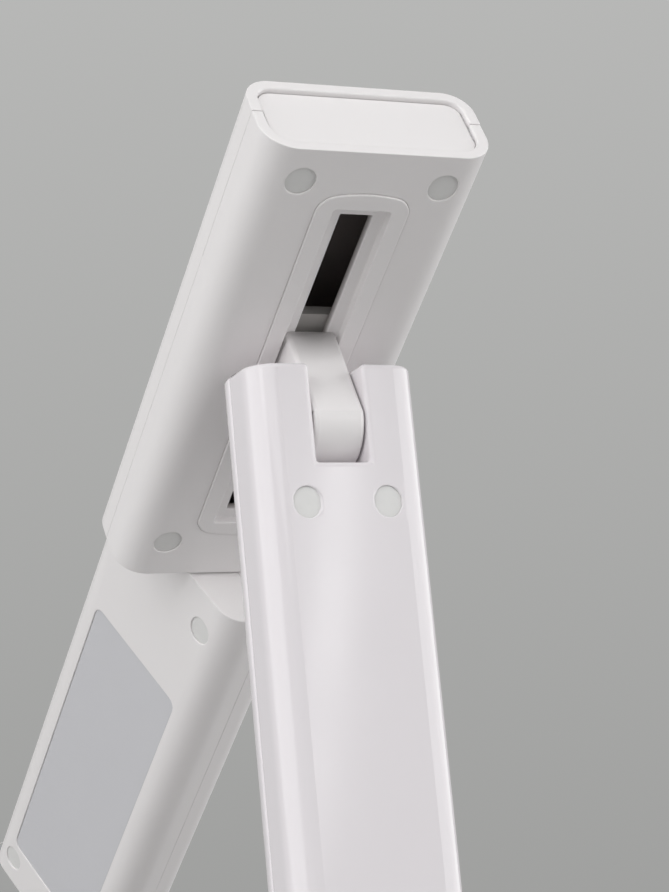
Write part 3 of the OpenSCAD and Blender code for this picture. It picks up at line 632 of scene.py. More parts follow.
class Finish:
    """A node material with helpers for its few kinds of link."""

    def __init__(self, name):
        self.material = bpy.data.materials.new(name)
        self.material.use_nodes = True
        self.tree = self.material.node_tree
        self.shader = self.tree.nodes["Principled BSDF"]
        self.coords = self.tree.nodes.new("ShaderNodeTexCoord").outputs["Object"]

    def set(self, **values):
        """Sets the shader's own sockets; a name's underscores stand for spaces."""
        for name, value in values.items():
            if hasattr(value, "__len__"):
                value = (*value, 1.0)
            self.shader.inputs[name.replace("_", " ")].default_value = value
        return self

    def noise(self, scale, detail=3.0, stretch=(1.0, 1.0, 1.0)):
        """Noise over the object's own axes, at a scale in cells a metre."""
        mapping = self.tree.nodes.new("ShaderNodeMapping")
        mapping.inputs["Scale"].default_value = stretch
        self.tree.links.new(self.coords, mapping.inputs["Vector"])
        texture = self.tree.nodes.new("ShaderNodeTexNoise")
        texture.inputs["Scale"].default_value = scale
        texture.inputs["Detail"].default_value = detail
        self.tree.links.new(mapping.outputs["Vector"], texture.inputs["Vector"])
        return texture.outputs["Fac"]

    def ranged(self, source, low, high, socket):
        """Feeds a shader socket from a noise, spread between low and high."""
        spread = self.tree.nodes.new("ShaderNodeMapRange")
        spread.inputs["From Min"].default_value = NOISE_SPAN[0]
        spread.inputs["From Max"].default_value = NOISE_SPAN[1]
        spread.inputs["To Min"].default_value = low
        spread.inputs["To Max"].default_value = high
        self.tree.links.new(source, spread.inputs["Value"])
        self.tree.links.new(spread.outputs["Result"], self.shader.inputs[socket])
        return self

    def tinted(self, source, low, high):
        """Blends the base colour between two colours by a source."""
        mix = self.tree.nodes.new("ShaderNodeMix")
        mix.data_type = "RGBA"
        mix.inputs["A"].default_value = (*low, 1.0)
        mix.inputs["B"].default_value = (*high, 1.0)
        self.tree.links.new(source, mix.inputs["Factor"])
        self.tree.links.new(mix.outputs["Result"], self.shader.inputs["Base Color"])
        return self

    def with_painted_shade(self, low):
        """Paints shade: blends the base colour to a low one by the share of painted shade that the piece keeps on
        each point.
        """
        inside = self.tree.nodes.new("ShaderNodeAttribute")
        inside.attribute_name = "painted_shade"
        mix = self.tree.nodes.new("ShaderNodeMix")
        mix.data_type = "RGBA"
        mix.inputs["B"].default_value = (*low, 1.0)
        colour = self.shader.inputs["Base Color"].links[0].from_socket
        self.tree.links.new(inside.outputs["Fac"], mix.inputs["Factor"])
        self.tree.links.new(colour, mix.inputs["A"])
        self.tree.links.new(mix.outputs["Result"], self.shader.inputs["Base Color"])
        return self

    def scattering(self, weight, scale):
        """Lets light scatter under the surface, evenly in all colours, to a depth in metres."""
        self.shader.inputs["Subsurface Radius"].default_value = (1.0, 1.0, 1.0)
        return self.set(Subsurface_Weight=weight, Subsurface_Scale=scale)

    def bumped(self, source, strength, distance):
        """Adds relief from a source, with a height in metres, over what is there already."""
        bump = self.tree.nodes.new("ShaderNodeBump")
        bump.inputs["Strength"].default_value = strength
        bump.inputs["Distance"].default_value = distance
        self.tree.links.new(source, bump.inputs["Height"])
        normal = self.shader.inputs["Normal"]
        if normal.is_linked:
            self.tree.links.new(normal.links[0].from_socket, bump.inputs["Normal"])
        self.tree.links.new(bump.outputs["Normal"], normal)
        return self


def shade(colour, by):
    """A colour made lighter or darker by a factor."""
    return tuple(min(1.0, c * by) for c in colour)


def moulded(name, colour, rough, spread=0.05, grain=0.000006):
    """Moulded plastic: a faint drift of tone, a painted shade from the inside colour where a piece marks it,
    uneven polish and a fine grain.
    """
    finish = Finish(name).set(Specular_IOR_Level=0.5)
    finish.tinted(finish.noise(14.0, 2.0), shade(colour, 0.985), shade(colour, 1.01))
    finish.with_painted_shade(colours().inside)
    finish.ranged(finish.noise(60.0, 4.0), rough - spread / 2, rough + spread / 2, "Roughness")
    return finish.bumped(finish.noise(1800.0, 1.0), 0.15, grain).material


def polished(name, colour):
    """Glossy moulded plastic: low roughness over the slow waves that a mould leaves."""
    finish = Finish(name).set(Specular_IOR_Level=0.42)
    finish.tinted(finish.noise(9.0, 2.0), shade(colour, 0.99), shade(colour, 1.01))
    finish.ranged(finish.noise(45.0, 4.0), 0.07, 0.10, "Roughness")
    finish.bumped(finish.noise(26.0, 1.0, (1.0, 0.35, 0.35)), 0.6, 0.00012)
    return finish.bumped(finish.noise(1400.0, 1.0), 0.1, 0.000004).material


def silicone(name, colour):
    """Soft silicone: light scatters in it, and its skin is slightly cloudy."""
    finish = Finish(name).scattering(0.35, 0.0015)
    finish.tinted(finish.noise(420.0, 3.0), shade(colour, 0.96), shade(colour, 1.03))
    finish.ranged(finish.noise(900.0, 3.0), 0.32, 0.44, "Roughness")
    return finish.bumped(finish.noise(1500.0, 2.0), 0.3, 0.00001).material


def milky(name, colour):
    """Frosted diffuser plastic: light scatters in it under a fine even frost."""
    finish = Finish(name).scattering(0.2, 0.002)
    finish.tinted(finish.noise(18.0, 2.0), shade(colour, 0.985), shade(colour, 1.015))
    finish.ranged(finish.noise(700.0, 4.0), 0.42, 0.52, "Roughness")
    return finish.bumped(finish.noise(3800.0, 1.0), 0.3, 0.000012).material


def rubber(name, colour):
    """Matte rubber with a coarse tooth."""
    finish = Finish(name).set(Specular_IOR_Level=0.3)
    finish.tinted(finish.noise(300.0, 4.0), shade(colour, 0.75), shade(colour, 1.25))
    finish.ranged(finish.noise(500.0, 3.0), 0.7, 0.85, "Roughness")
    return finish.bumped(finish.noise(1300.0, 4.0), 0.6, 0.00008).material


def plated(name, colour, rough):
    """Plated or brushed metal: fine lines along one axis over a cloudy plating."""
    finish = Finish(name).set(Metallic=1.0)
    finish.tinted(finish.noise(90.0, 4.0), shade(colour, 0.86), shade(colour, 1.1))
    finish.ranged(finish.noise(260.0, 5.0, (1.0, 14.0, 1.0)), rough - 0.08, rough + 0.1, "Roughness")
    return finish.bumped(finish.noise(900.0, 3.0, (1.0, 12.0, 1.0)), 0.3, 0.00001).material


def coated(name, colour, spots, scale):
    """A board or film: a flat colour with soft specks of a second one."""
    finish = Finish(name).set(Coat_Weight=0.4, Coat_Roughness=0.15)
    finish.tinted(finish.noise(scale, 5.0), colour, spots)
    finish.ranged(finish.noise(scale * 2, 3.0), 0.3, 0.45, "Roughness")
    return finish.bumped(finish.noise(scale * 3, 2.0), 0.3, 0.00002).material


MATERIALS = {}


def make_finishes():
    """Every finish, by the record's material slot."""
    tone = colours()
    MATERIALS.update({
        "white_satin": moulded("white_satin", tone.white, 0.36),
        "white_gloss": polished("white_gloss", tone.arm_white),
        "grey_plastic": moulded("grey_plastic", (0.62, 0.62, 0.63), 0.5),
        "button_plastic": moulded("button_plastic", (0.80, 0.80, 0.82), 0.24),
        "black_plastic": moulded("black_plastic", (0.04, 0.04, 0.045), 0.45),
        "grip_rubber": rubber("grip_rubber", (0.09, 0.09, 0.095)),
        "cap_silicone": silicone("cap_silicone", tone.cap),
        # Painted shade: the acetal is set greyer than its own near-white, standing in for the shade on the
        # carriage deep in the slot
        "acetal": moulded("acetal", (0.44, 0.425, 0.41), 0.3, 0.08),
        "steel": plated("steel", (0.56, 0.57, 0.58), 0.3),
        "circuit_board": coated("circuit_board", (0.03, 0.15, 0.07), (0.08, 0.28, 0.14), 700.0),
        "battery_film": coated("battery_film", (0.35, 0.42, 0.50), (0.38, 0.45, 0.53), 120.0),
        "diffuser_milk": milky("diffuser_milk", tone.milk),
        "reflector_white": moulded("reflector_white", (0.92, 0.92, 0.92), 0.3),
        "board_aluminium": plated("board_aluminium", (0.80, 0.81, 0.82), 0.35),
        "chip_phosphor": coated("chip_phosphor", (0.90, 0.78, 0.36), (0.93, 0.84, 0.50), 900.0),
    })


# Openings, each with its cell of the grid, centre, half sizes, corner radius and arch

Hole = collections.namedtuple("Hole", "cell centre half radius arch")


def window(low, high, radius, arch=0.0):
    """A rounded window from its low to its high corner, in its cell of the grid."""
    centre = ((low[0] + high[0]) / 2, (low[1] + high[1]) / 2)
    half = ((high[0] - low[0]) / 2, (high[1] - low[1]) / 2)
    cell = (low[0] - WINDOW_MARGIN, high[0] + WINDOW_MARGIN,
            low[1] - WINDOW_MARGIN, high[1] + WINDOW_MARGIN)
    return Hole(cell, centre, half, radius, arch)


def screw_holes(body, flip_length=None):
    """The four round holes of a part's screw caps, each in its cell of the grid."""
    size = sizes()
    low, high = PLACES[body].box(f"{body}_screw_caps")
    reach = size.cap_radius + HOLE_MARGIN
    radius = size.cap_radius + size.cap_gap
    x = high[0] - size.cap_radius
    rows = [low[1] + size.cap_radius, high[1] - size.cap_radius]
    if flip_length:
        rows = [flip_length - l for l in rows]
    return [
        Hole((u - reach, u + reach, l - reach, l + reach), (u, l), (radius, radius), radius, 0.0)
        for u in (-x, x) for l in rows]


def cut_cells(keep, us, ls, cell):
    """Marks the grid's cells inside a rectangle (u low, u high, l low, l high) as left out,
    and gives the columns and rows that run round it."""
    columns = (us > cell[0] - TINY) & (us < cell[1] + TINY)
    rows = (ls > cell[2] - TINY) & (ls < cell[3] + TINY)
    first, last = np.flatnonzero(columns)[[0, -1]]
    low, high = np.flatnonzero(rows)[[0, -1]]
    keep[low:high, first:last] = False
    return us[columns], ls[rows]


def hole_ring(us, ls, hole, rings=3):
    """Rings between a rectangular cell and the rounded hole in it, as grids of u and l."""
    loop = loop_round(us, ls)
    edge = on_round_box(loop, np.array(hole.centre), np.array(hole.half), hole.radius, hole.arch)
    share = np.linspace(0, 1, rings + 1)[:, None, None]
    ring = loop + share * (edge - loop)
    return ring[..., 0], ring[..., 1]


# Shells of the bar and the head

def bar_depths():
    """The bar's whole thickness and the depth of its parting plane, from its back shell."""
    low, high = BAR.box("bar_back_shell")
    return high[2], low[2]


def head_depths():
    """The head's whole thickness and the depth of its parting plane, from both its shells."""
    return HEAD.box("head_back_shell")[1][2], HEAD.box("head_front_shell")[1][2]


def head_length():
    """The head's whole length."""
    low, high = HEAD.box("head_front_shell")
    return high[1] - low[1]


def round_section(edge, radius, centre_n, part_n, side):
    """Rows from the outline of an end, a plane across the part, to the arc of a round hole.
    Each point runs straight towards the arc, at the same share of the sweep from the middle
    of the face, and both ends of the arc lie on the parting plane."""
    turn = np.arctan2(edge[:, 0], side * (edge[:, 2] - centre_n))
    last = math.acos(side * (part_n - centre_n) / radius)
    turn = turn * last / np.abs(turn).max()
    arc = np.stack([
        radius * np.sin(turn), edge[:, 1], centre_n + side * radius * np.cos(turn)], -1)
    return edge + END_ROWS[:, None, None] * (arc - edge)


class Shell:
    """Half of the bar or the head. It is a thick skin that runs from an open rim at one end
    to a wall with a round hole at the other, with l from the rim."""

    def __init__(self, place, node, front, depths, length=None):
        size = sizes()
        low, high = place.box(node)
        self.size, self.front = size, front
        self.length = high[1] - low[1] if length is None else length
        self.thick, part = depths
        own = part if front else self.thick - part
        corner = size.front_corner if front else size.back_corner
        back = None if front else self.thick
        self.wrap = Wrap(high[0] - low[0], corner, own - size.seam / 2, back)
        self.rim_from = size.rim_step if front else 0.0
        self.cap_from = size.cap_sink + size.cap_face
        self.wall_from = self.length - WALL_STRETCH

    def marks(self, holes):
        """Columns and rows of the grid: where the form turns, and round each hole."""
        wrap = self.wrap
        us = [0.0, wrap.flat, wrap.flat + wrap.arc, wrap.edge]
        ls = [self.rim_from, self.cap_from, self.cap_from + CAP_STEP, self.wall_from, self.length]
        for (u_low, u_high, l_low, l_high), centre, half, radius, _ in holes:
            us += [abs(u_low), abs(u_high), abs(centre[0]) + half[0] - radius]
            ls += [l_low, l_high]
            ls += [centre[1] - half[1] + radius, centre[1] + half[1] - radius]
        return mirrored(filled(us, SHELL_PITCH[0])), filled(ls, SHELL_PITCH[1])

    def inner(self, u, l):
        """The inside: set in by the rim's width as far as the end cap reaches, then by the
        wall's, and drawn in by the end wall at the swivel."""
        size, cap_to = self.size, self.cap_from + CAP_STEP
        depth = np.interp(l, [0, self.cap_from, cap_to], [size.rim, size.rim, size.wall])
        drawn = np.interp(
            l, [0, self.wall_from, self.length], [0, self.wall_from, self.length - size.end_wall])
        return self.wrap(u, np.where(l < self.rim_from + TINY, l, drawn), depth)

    def build(self, holes=()):
        """The shell's points and quads."""
        us, ls = self.marks(holes)
        keep = np.ones((len(ls) - 1, len(us) - 1), bool)
        rings = []
        for hole in holes:
            columns, rows = cut_cells(keep, us, ls, hole.cell)
            rings.append(hole_ring(columns, rows, hole))
        grid = np.meshgrid(us, ls)
        outer, inner = self.wrap(*grid, 0.0), self.inner(*grid)
        part_n = outer[0, 0, 2]
        side = -1 if self.front else 1
        whole = [
            np.concatenate([skin, round_section(
                skin[-1], self.size.swivel_hole, self.thick / 2, part_n, side)])
            for skin in (outer, inner)]
        keep = np.concatenate([keep, np.ones((len(END_ROWS), len(us) - 1), bool)])
        patches = [(*whole, keep)]
        patches += [(self.wrap(u, l, 0.0), self.inner(u, l), None) for u, l in rings]
        return thick_sheet(patches)


def build_bar_shells():
    """The two halves of the bar: the front one with its slot window and its four screws."""
    size = sizes()
    depths = bar_depths()
    low, high = BAR.box("slot_frame")
    lip = size.frame_lip - size.window_gap
    slot = window(low[:2] + lip, high[:2] - lip, size.frame_radius, size.arch)
    unlit_from = size.cap_sink + size.cap_face + size.cap_flange
    for half, holes in (("front", [slot, *screw_holes("bar")]), ("back", [])):
        node = f"bar_{half}_shell"
        mesh = Shell(BAR, node, half == "front", depths).build(holes)
        # Painted shade: the inner skin past the end cap's flange takes the inside tone, standing in for the shade
        # inside the hollow bar
        unlit = sheet_inside(mesh[0]) * (mesh[0][:, 1] > unlit_from)
        make_piece(f"{node}_skin", "bar", "white_satin", mesh, BAR, [node],
                   edge=size.shell_round, fine_n=depths[1], sheet=True, holes=holes,
                   rim_at=0.0, painted_shade=unlit)


def build_head_shells():
    """The two halves of the head: the front one with its diffuser window and four screws.
    Their rim is at the far end, so each is built from there and its ends are swapped."""
    size = sizes()
    depths, length = head_depths(), head_length()
    low, high = HEAD.box("diffuser")
    lip = size.diffuser_lip - size.window_gap
    lens = window((low[0] + lip, length - high[1] + lip), (high[0] - lip, length - low[1] - lip),
                  size.diffuser_radius)
    for half, holes in (("front", [lens, *screw_holes("head", length)]), ("back", [])):
        node = f"head_{half}_shell"
        points, quads = Shell(HEAD, node, half == "front", depths, length).build(holes)
        points[:, 1] = length - points[:, 1]
        make_piece(f"{node}_skin", "head", "white_satin", (points, quads), HEAD, [node],
                   edge=size.shell_round, fine_n=depths[1], sheet=True,
                   holes=screw_holes("head") if holes else [])


# The arm

class ArmHalf:
    """Half of the arm. It is a thick skin, flat at the top and round at the foot, with a
    notch at both ends whose cheeks run to the parting plane, and l runs from the top."""

    def __init__(self, node, front):
        size = sizes()
        low, high = ARM.box(node)
        back_low, back_high = ARM.box("arm_back_shell")
        self.size, self.front = size, front
        self.thick, self.part = back_high[2], back_low[2]
        self.depth = (self.part if front else self.thick - self.part) - size.arm_seam / 2
        corner = size.arm_front_corner if front else size.arm_back_corner
        self.wrap = Wrap(high[0] - low[0], corner, self.depth)
        self.notch = size.notch_width / 2
        self.knuckle = self.thick / 2
        self.foot = ARM.own(foot_pin)[1]
        self.top_notch = ARM.own(top_pin)[1] + self.knuckle + size.notch_gap
        self.foot_notch = self.foot - self.knuckle - size.notch_gap
        self.foot_from = self.foot_notch - FOOT_STRETCH
        self.holes = screw_holes("arm") if front else []
        self.us, self.ls = self.marks()

    def marks(self):
        """Columns and rows of the grid: where the form turns, close beside each rounded
        edge, and round each hole."""
        wrap, notch, clear = self.wrap, self.notch, self.size.arm_round * EDGE_ROOM
        us = [0.0, notch - clear, notch, notch + clear, notch + NOTCH_STRETCH, wrap.flat,
              wrap.flat + wrap.arc, wrap.edge]
        ls = [0.0, clear, self.top_notch - clear, self.top_notch, self.top_notch + clear,
              self.top_notch + NOTCH_STRETCH, self.foot_from, self.foot_notch - clear,
              self.foot_notch, self.foot_notch + clear, self.foot]
        for hole in self.holes:
            us += [abs(hole.cell[0]), abs(hole.cell[1])]
            ls += [hole.cell[2], hole.cell[3]]
        return mirrored(filled(us, ARM_PITCH[0])), filled(ls, ARM_PITCH[1])

    def round_end(self, n, set_in=0.0):
        """Where the foot ends at a depth: a circle about the pin, smaller by what it is set
        in, l = foot + sqrt((knuckle - set_in)^2 - (knuckle - n)^2)."""
        reach = (self.knuckle - set_in)**2 - (self.knuckle - n)**2
        return self.foot + np.sqrt(np.maximum(reach, 0))

    def outer(self, u, l):
        """The outside: the wrapped face, drawn out at the foot to the round end."""
        x, _, n = np.moveaxis(self.wrap(u, 0.0, 0.0), -1, 0)
        return np.stack([x, stretched(l, self.foot_from, self.foot, self.round_end(n)), n], -1)

    def beside(self, u):
        """Columns of the inside, which leave a cheek's thickness beside the notch."""
        cheek_to = self.notch + NOTCH_STRETCH
        outside = [0, self.notch, cheek_to, 1]
        return np.sign(u) * np.interp(
            np.abs(u), outside, [0, self.notch + self.size.cheek, cheek_to, 1])

    def along(self, l):
        """Rows of the inside, which leave a wall at the top and a cheek past each notch."""
        cheek_to = self.top_notch + NOTCH_STRETCH
        outside = [0, self.top_notch, cheek_to, self.foot_from, self.foot_notch, self.foot]
        inside = [self.size.wall, self.top_notch + self.size.cheek, cheek_to, self.foot_from,
                  self.foot_notch - self.size.cheek, self.foot]
        return np.interp(l, outside, inside)

    def inner(self, u, l):
        """The inside: set in by the wall, and drawn out at the foot to its own round end."""
        wall = self.size.wall
        x, _, n = np.moveaxis(self.wrap(self.beside(u), 0.0, wall), -1, 0)
        start = self.foot_notch - self.size.cheek
        return np.stack([
            x, stretched(self.along(l), start, self.foot, self.round_end(n, wall)), n], -1)

    def end_rows(self, edge, notch, side, set_in, at_foot):
        """Rows from an end's edge to the parting plane, where the end is flat across from
        the notch to the side."""
        x = np.sign(self.us) * np.interp(
            np.abs(self.us), [0, self.notch, self.wrap.edge], [0, notch, side])
        target = np.stack([x, edge[:, 1], np.full(len(x), self.depth)], -1)
        rows = edge + NOTCH_ROWS[:, None, None] * (target - edge)
        if at_foot:
            rows[..., 1] = self.round_end(rows[..., 2], set_in)
        return rows

    def end_patch(self, outer, inner, at_foot):
        """The end wall on both sides of the notch."""
        wall, side = self.size.wall, self.wrap.flat + self.wrap.radius
        keep = np.ones((len(NOTCH_ROWS) - 1, len(self.us) - 1), bool)
        columns = np.flatnonzero(np.abs(self.us) < self.notch + TINY)
        keep[:, columns[0]:columns[-1]] = False
        return (self.end_rows(outer, self.notch, side, 0.0, at_foot),
                self.end_rows(inner, self.notch + self.size.cheek, side - wall, wall, at_foot),
                keep)

    def notch_patch(self, middle, run, at_foot):
        """The notch's wall: down one cheek, across and up the other cheek, in rows from the
        face to the parting plane."""
        run = run[::-1] if at_foot else run
        cheek = np.full(len(run) - 1, self.notch)
        across = np.concatenate([-cheek, middle, cheek])
        along = np.concatenate([run[:-1], np.full(len(middle), run[-1]), run[-2::-1]])
        wall, share = self.size.wall, NOTCH_ROWS[:, None]
        n_out = share * self.depth + 0 * along
        n_in = wall + share * (self.depth - wall) + 0 * along
        l_out, l_in = along + 0 * n_out, self.along(along) + 0 * n_out
        if at_foot:
            start = self.foot_notch - self.size.cheek
            l_out = stretched(l_out, self.foot_notch, self.foot, self.round_end(n_out))
            l_in = stretched(l_in, start, self.foot, self.round_end(n_in, wall))
        x_out, x_in = across + 0 * n_out, self.beside(across) + 0 * n_out
        return np.stack([x_out, l_out, n_out], -1), np.stack([x_in, l_in, n_in], -1), None

    def build(self):
        """The half's points and quads."""
        us, ls, notch = self.us, self.ls, self.notch
        keep = np.ones((len(ls) - 1, len(us) - 1), bool)
        patches = []
        for hole in self.holes:
            u, l = hole_ring(*cut_cells(keep, us, ls, hole.cell), hole)
            patches.append((self.outer(u, l), self.inner(u, l), None))
        top = cut_cells(keep, us, ls, (-notch, notch, 0.0, self.top_notch))
        foot = cut_cells(keep, us, ls, (-notch, notch, self.foot_notch, self.foot))
        grid = np.meshgrid(us, ls)
        outer, inner = self.outer(*grid), self.inner(*grid)
        patches += [
            (outer, inner, keep),
            self.end_patch(outer[0], inner[0], False), self.end_patch(outer[-1], inner[-1], True),
            self.notch_patch(*top, False), self.notch_patch(*foot, True)]
        points, quads = thick_sheet(patches)
        if not self.front:
            points[:, 2] = self.thick - points[:, 2]
        return points, quads


def build_arm_shells():
    """Both halves of the arm: the front one with its four screws."""
    size = sizes()
    for half in ("front", "back"):
        node = f"arm_{half}_shell"
        shell = ArmHalf(node, half == "front")
        make_piece(f"{node}_skin", "arm", "white_gloss", shell.build(), ARM, [node],
                   edge=size.arm_round, fine_n=shell.part, sheet=True, holes=shell.holes)


# Trims, caps and the tongue

def round_loop(low, high, radius, n, arch=0.0, arc=7, across=10):
    """A closed rounded rectangle at depth n: four arcs joined by straight sides, starting on
    the right side, with both short sides drawn to a shallow curve by the arch."""
    low, high = np.array(low), np.array(high)
    centre, half = (low + high) / 2, (high - low) / 2
    turn = np.linspace(0, math.pi / 2, arc + 1)
    core = half - radius
    runs = []
    for k, (sx, sl) in enumerate([(1, 1), (-1, 1), (-1, -1), (1, -1)]):
        angle = turn + k * math.pi / 2
        corner = np.array([sx, sl]) * core
        runs.append(corner + radius * np.stack([np.cos(angle), np.sin(angle)], -1))
        if k % 2 == 0:
            start, end = runs[-1][-1], runs[-1][-1] * (-1, 1)
            share = np.linspace(0, 1, across + 1)[1:-1, None]
            runs.append(start + share * (end - start))
    loop = np.concatenate(runs)
    loop[:, 1] -= arch * (loop[:, 0] / half[0])**2 * loop[:, 1] / half[1]
    loop = centre + np.concatenate([loop, loop[:1]])
    return np.stack([loop[:, 0], loop[:, 1], np.full(len(loop), n)], -1)


def disc(centre, radius, low, high, fillet, dome=0.0, turns=48, rings=5):
    """A round cap whose outline is turned about its centre. Its rim is rounded by a quarter
    circle, and its top falls from the middle by the dome times the share of radius squared."""
    quarter = np.linspace(0, math.pi / 2, rings)
    core = radius - fillet
    flat = np.linspace(0, core, rings)
    r = np.concatenate([flat, core + fillet * np.sin(quarter[1:]), [radius, 0.0]])
    n = np.concatenate([
        low + dome * (flat / core)**2, low + dome + fillet * (1 - np.cos(quarter[1:])),
        [high, high]])
    angle = np.linspace(0, 2 * math.pi, turns + 1)
    rows = [
        np.stack([centre[0] + a * np.cos(angle), centre[1] + a * np.sin(angle),
                  np.full(turns + 1, b)], -1)
        for a, b in zip(r, n)]
    return lofted(rows)


def build_slot_frame():
    """The slot's frame: one closed loft of rounded rectangles, from the lip behind the shell
    to the proud pad, down into the recess and through the narrow track."""
    size = sizes()
    low, high = BAR.box("slot_frame")
    lip, arch = size.frame_lip, size.arch
    recess_x, track_x = size.recess_width / 2, size.track_width / 2
    recess = low[1] + lip + size.frame_end, high[1] - lip - size.frame_end
    track = recess[0] + size.track_end, recess[1] - size.track_end
    floor = size.recess_depth

    def loop(x, span, radius, n, bend=0.0):
        return round_loop((-x, span[0]), (x, span[1]), radius, n, bend)

    pad = high[0] - lip
    pad_span = low[1] + lip, high[1] - lip
    behind = size.wall + size.window_gap
    rows = [
        loop(high[0], (low[1], high[1]), size.frame_radius, high[2]),
        loop(high[0], (low[1], high[1]), size.frame_radius, behind),
        loop(pad, pad_span, size.frame_radius, behind, arch),
        loop(pad, pad_span, size.frame_radius, low[2], arch),
        loop(recess_x, recess, size.recess_radius, low[2]),
        loop(recess_x, recess, size.recess_radius, floor),
        loop(track_x, track, size.track_radius, floor),
        loop(track_x, track, size.track_radius, high[2]),
    ]
    mesh = lofted(rows, closed_rows=True)
    # Painted shade: the walls of the narrow track take the inside tone, standing in for the shade down in the slot
    shaded_track = (np.abs(mesh[0][:, 0]) < track_x + TINY) & (mesh[0][:, 2] > floor + TINY)
    make_piece("slot_frame_trim", "bar", "white_satin", mesh, BAR, ["slot_frame"],
               edge=size.trim_round, painted_shade=shaded_track.astype(float))


def section_loop(width, thick, part, inset, counts=(6, 13, 2)):
    """The closed outline across the bar or the head, set in by a depth: the front wrap from
    left to right, then the back wrap from right to left. The counts are the steps on half
    the face, on a corner's arc and on a side."""
    size = sizes()
    front = Wrap(width, size.front_corner, part)
    back = Wrap(width, size.back_corner, thick - part, thick)

    def run(wrap):
        marks = [0.0, wrap.flat, wrap.flat + wrap.arc, wrap.edge]
        us = mirrored(steps(marks, counts))
        return wrap(us, 0.0, inset)

    loop = np.concatenate([run(front), run(back)[::-1]])
    return np.concatenate([loop, loop[:1]])


def build_end_cap(body):
    """An end cap: a plate of the part's own outline, set in from the rim, on a wider flange.
    The bar and the head have the same section, and the head's cap is at its far end."""
    size = sizes()
    node, place = f"{body}_end_cap", PLACES[body]
    low, high = place.box(node)
    face, flange = size.rim + size.cap_line, size.wall + size.window_gap
    width = high[0] - low[0] + 2 * flange
    near = size.cap_sink
    step = near + size.cap_face + CAP_STEP
    far = near + size.cap_face + size.cap_flange
    rows = []
    for l, inset in ((near, face), (step, face), (step, flange), (far, flange)):
        loop = section_loop(width, *bar_depths(), inset)
        loop[:, 1] = head_length() - l if body == "head" else l
        if inset == face:
            loop[:, 2] -= size.cap_shift
        rows.append(loop)
    make_piece(f"{node}_plate", body, "white_satin", lofted(rows, ladder=True), place, [node],
               edge=size.shell_round)


def build_screw_caps(body):
    """The four screw caps of a part, each a shallow dome with a rounded rim."""
    size = sizes()
    node, place = f"{body}_screw_caps", PLACES[body]
    low, high = place.box(node)
    r = size.cap_radius
    parts = [
        disc((x, l), r, low[2] + size.cap_down, high[2], size.cap_round, size.cap_dome)
        for x in (low[0] + r, high[0] - r) for l in (low[1] + r, high[1] - r)]
    make_piece(f"{body}_screw_cap_set", body, "cap_silicone", joined(parts), place, [node])


def build_diffuser():
    """The diffuser: a milky lens in the window, on a wider flange behind the shell."""
    size = sizes()
    low, high = HEAD.box("diffuser")
    lip = size.diffuser_lip
    behind = size.wall + size.window_gap

    def loop(inset, n):
        return round_loop(low[:2] + inset, high[:2] - inset, size.diffuser_radius, n)

    rows = [loop(lip, low[2]), loop(lip, behind), loop(0.0, behind), loop(0.0, high[2])]
    make_piece("diffuser_lens", "head", "diffuser_milk", lofted(rows, ladder=True), HEAD,
               ["diffuser"], edge=size.lens_round)


def tongue_profile(radius, reach, crease, count=14):
    """Half outlines of the tongue seen from its side, from the foot in the bar down to the
    tip: the lower one is straight and then a quarter circle, the upper one is straight to a
    crease and then follows the same circle. Points are (l, n) from the hinge axis."""
    turn = np.linspace(0, math.pi / 2, count + 1)[:-1] + math.pi / 4 / count
    lower = np.concatenate([
        [[radius, reach], [radius, reach / 2], [radius, reach / 4]],
        np.stack([radius * np.cos(turn), -radius * np.sin(turn)], -1)])
    start = math.asin(crease / radius)
    turn = start + (math.pi / 2 - start) * np.linspace(0, 1, count + 1)
    turn = turn[:-1] + (turn[1] - turn[0]) * np.linspace(0, 0.5, count)
    turn[1] = turn[0] + CREASE_SHARE
    near = np.array([-radius * math.cos(start), -crease])
    top = np.array([-radius, reach])
    share = np.array([0.0, 0.5, 1 - CREASE_SHARE])[:, None]
    upper = np.concatenate([
        top + share * (near - top),
        np.stack([-radius * np.cos(turn), -radius * np.sin(turn)], -1)])
    return upper, lower


def rounded_slab(upper, lower, half, fillet, arc=5):
    """A slab between two half outlines, extruded over its width, with its long edges rounded
    by quarter circles: the outline shrinks towards the middle as it nears each side."""
    turn = np.linspace(0, math.pi / 2, arc + 1)
    out = half - fillet * (1 - np.sin(turn))
    inset = fillet * (1 - np.cos(turn))
    outline = np.concatenate([upper, lower[::-1]])
    tangent = np.roll(outline, -1, 0) - np.roll(outline, 1, 0)
    tangent[0], tangent[-1] = outline[1] - outline[0], outline[-1] - outline[-2]
    normal = np.stack([tangent[:, 1], -tangent[:, 0]], -1)
    normal = normal / np.linalg.norm(normal, axis=-1, keepdims=True)
    rows = []
    xs = np.concatenate([-out[::-1], out])
    ins = np.concatenate([inset[::-1], inset])
    for x, shrink in zip(xs, ins):
        loop = outline - shrink * normal
        loop[[0, -1], 1] = outline[[0, -1], 1]
        loop = np.concatenate([loop, loop[:1]])
        rows.append(np.stack([np.full(len(loop), x), loop[:, 0], loop[:, 1]], -1))
    return lofted(rows, ladder=True)


def block(low, high):
    """A plain box as a mesh."""
    low, high = np.array(low), np.array(high)
    loop = np.array([[0, 0], [1, 0], [1, 1], [0, 1], [0, 0]], float)
    rows = [
        np.concatenate([low[:2] + loop * (high - low)[:2], np.full((5, 1), n)], 1)
        for n in (low[2], high[2])]
    return lofted(rows, ladder=True)


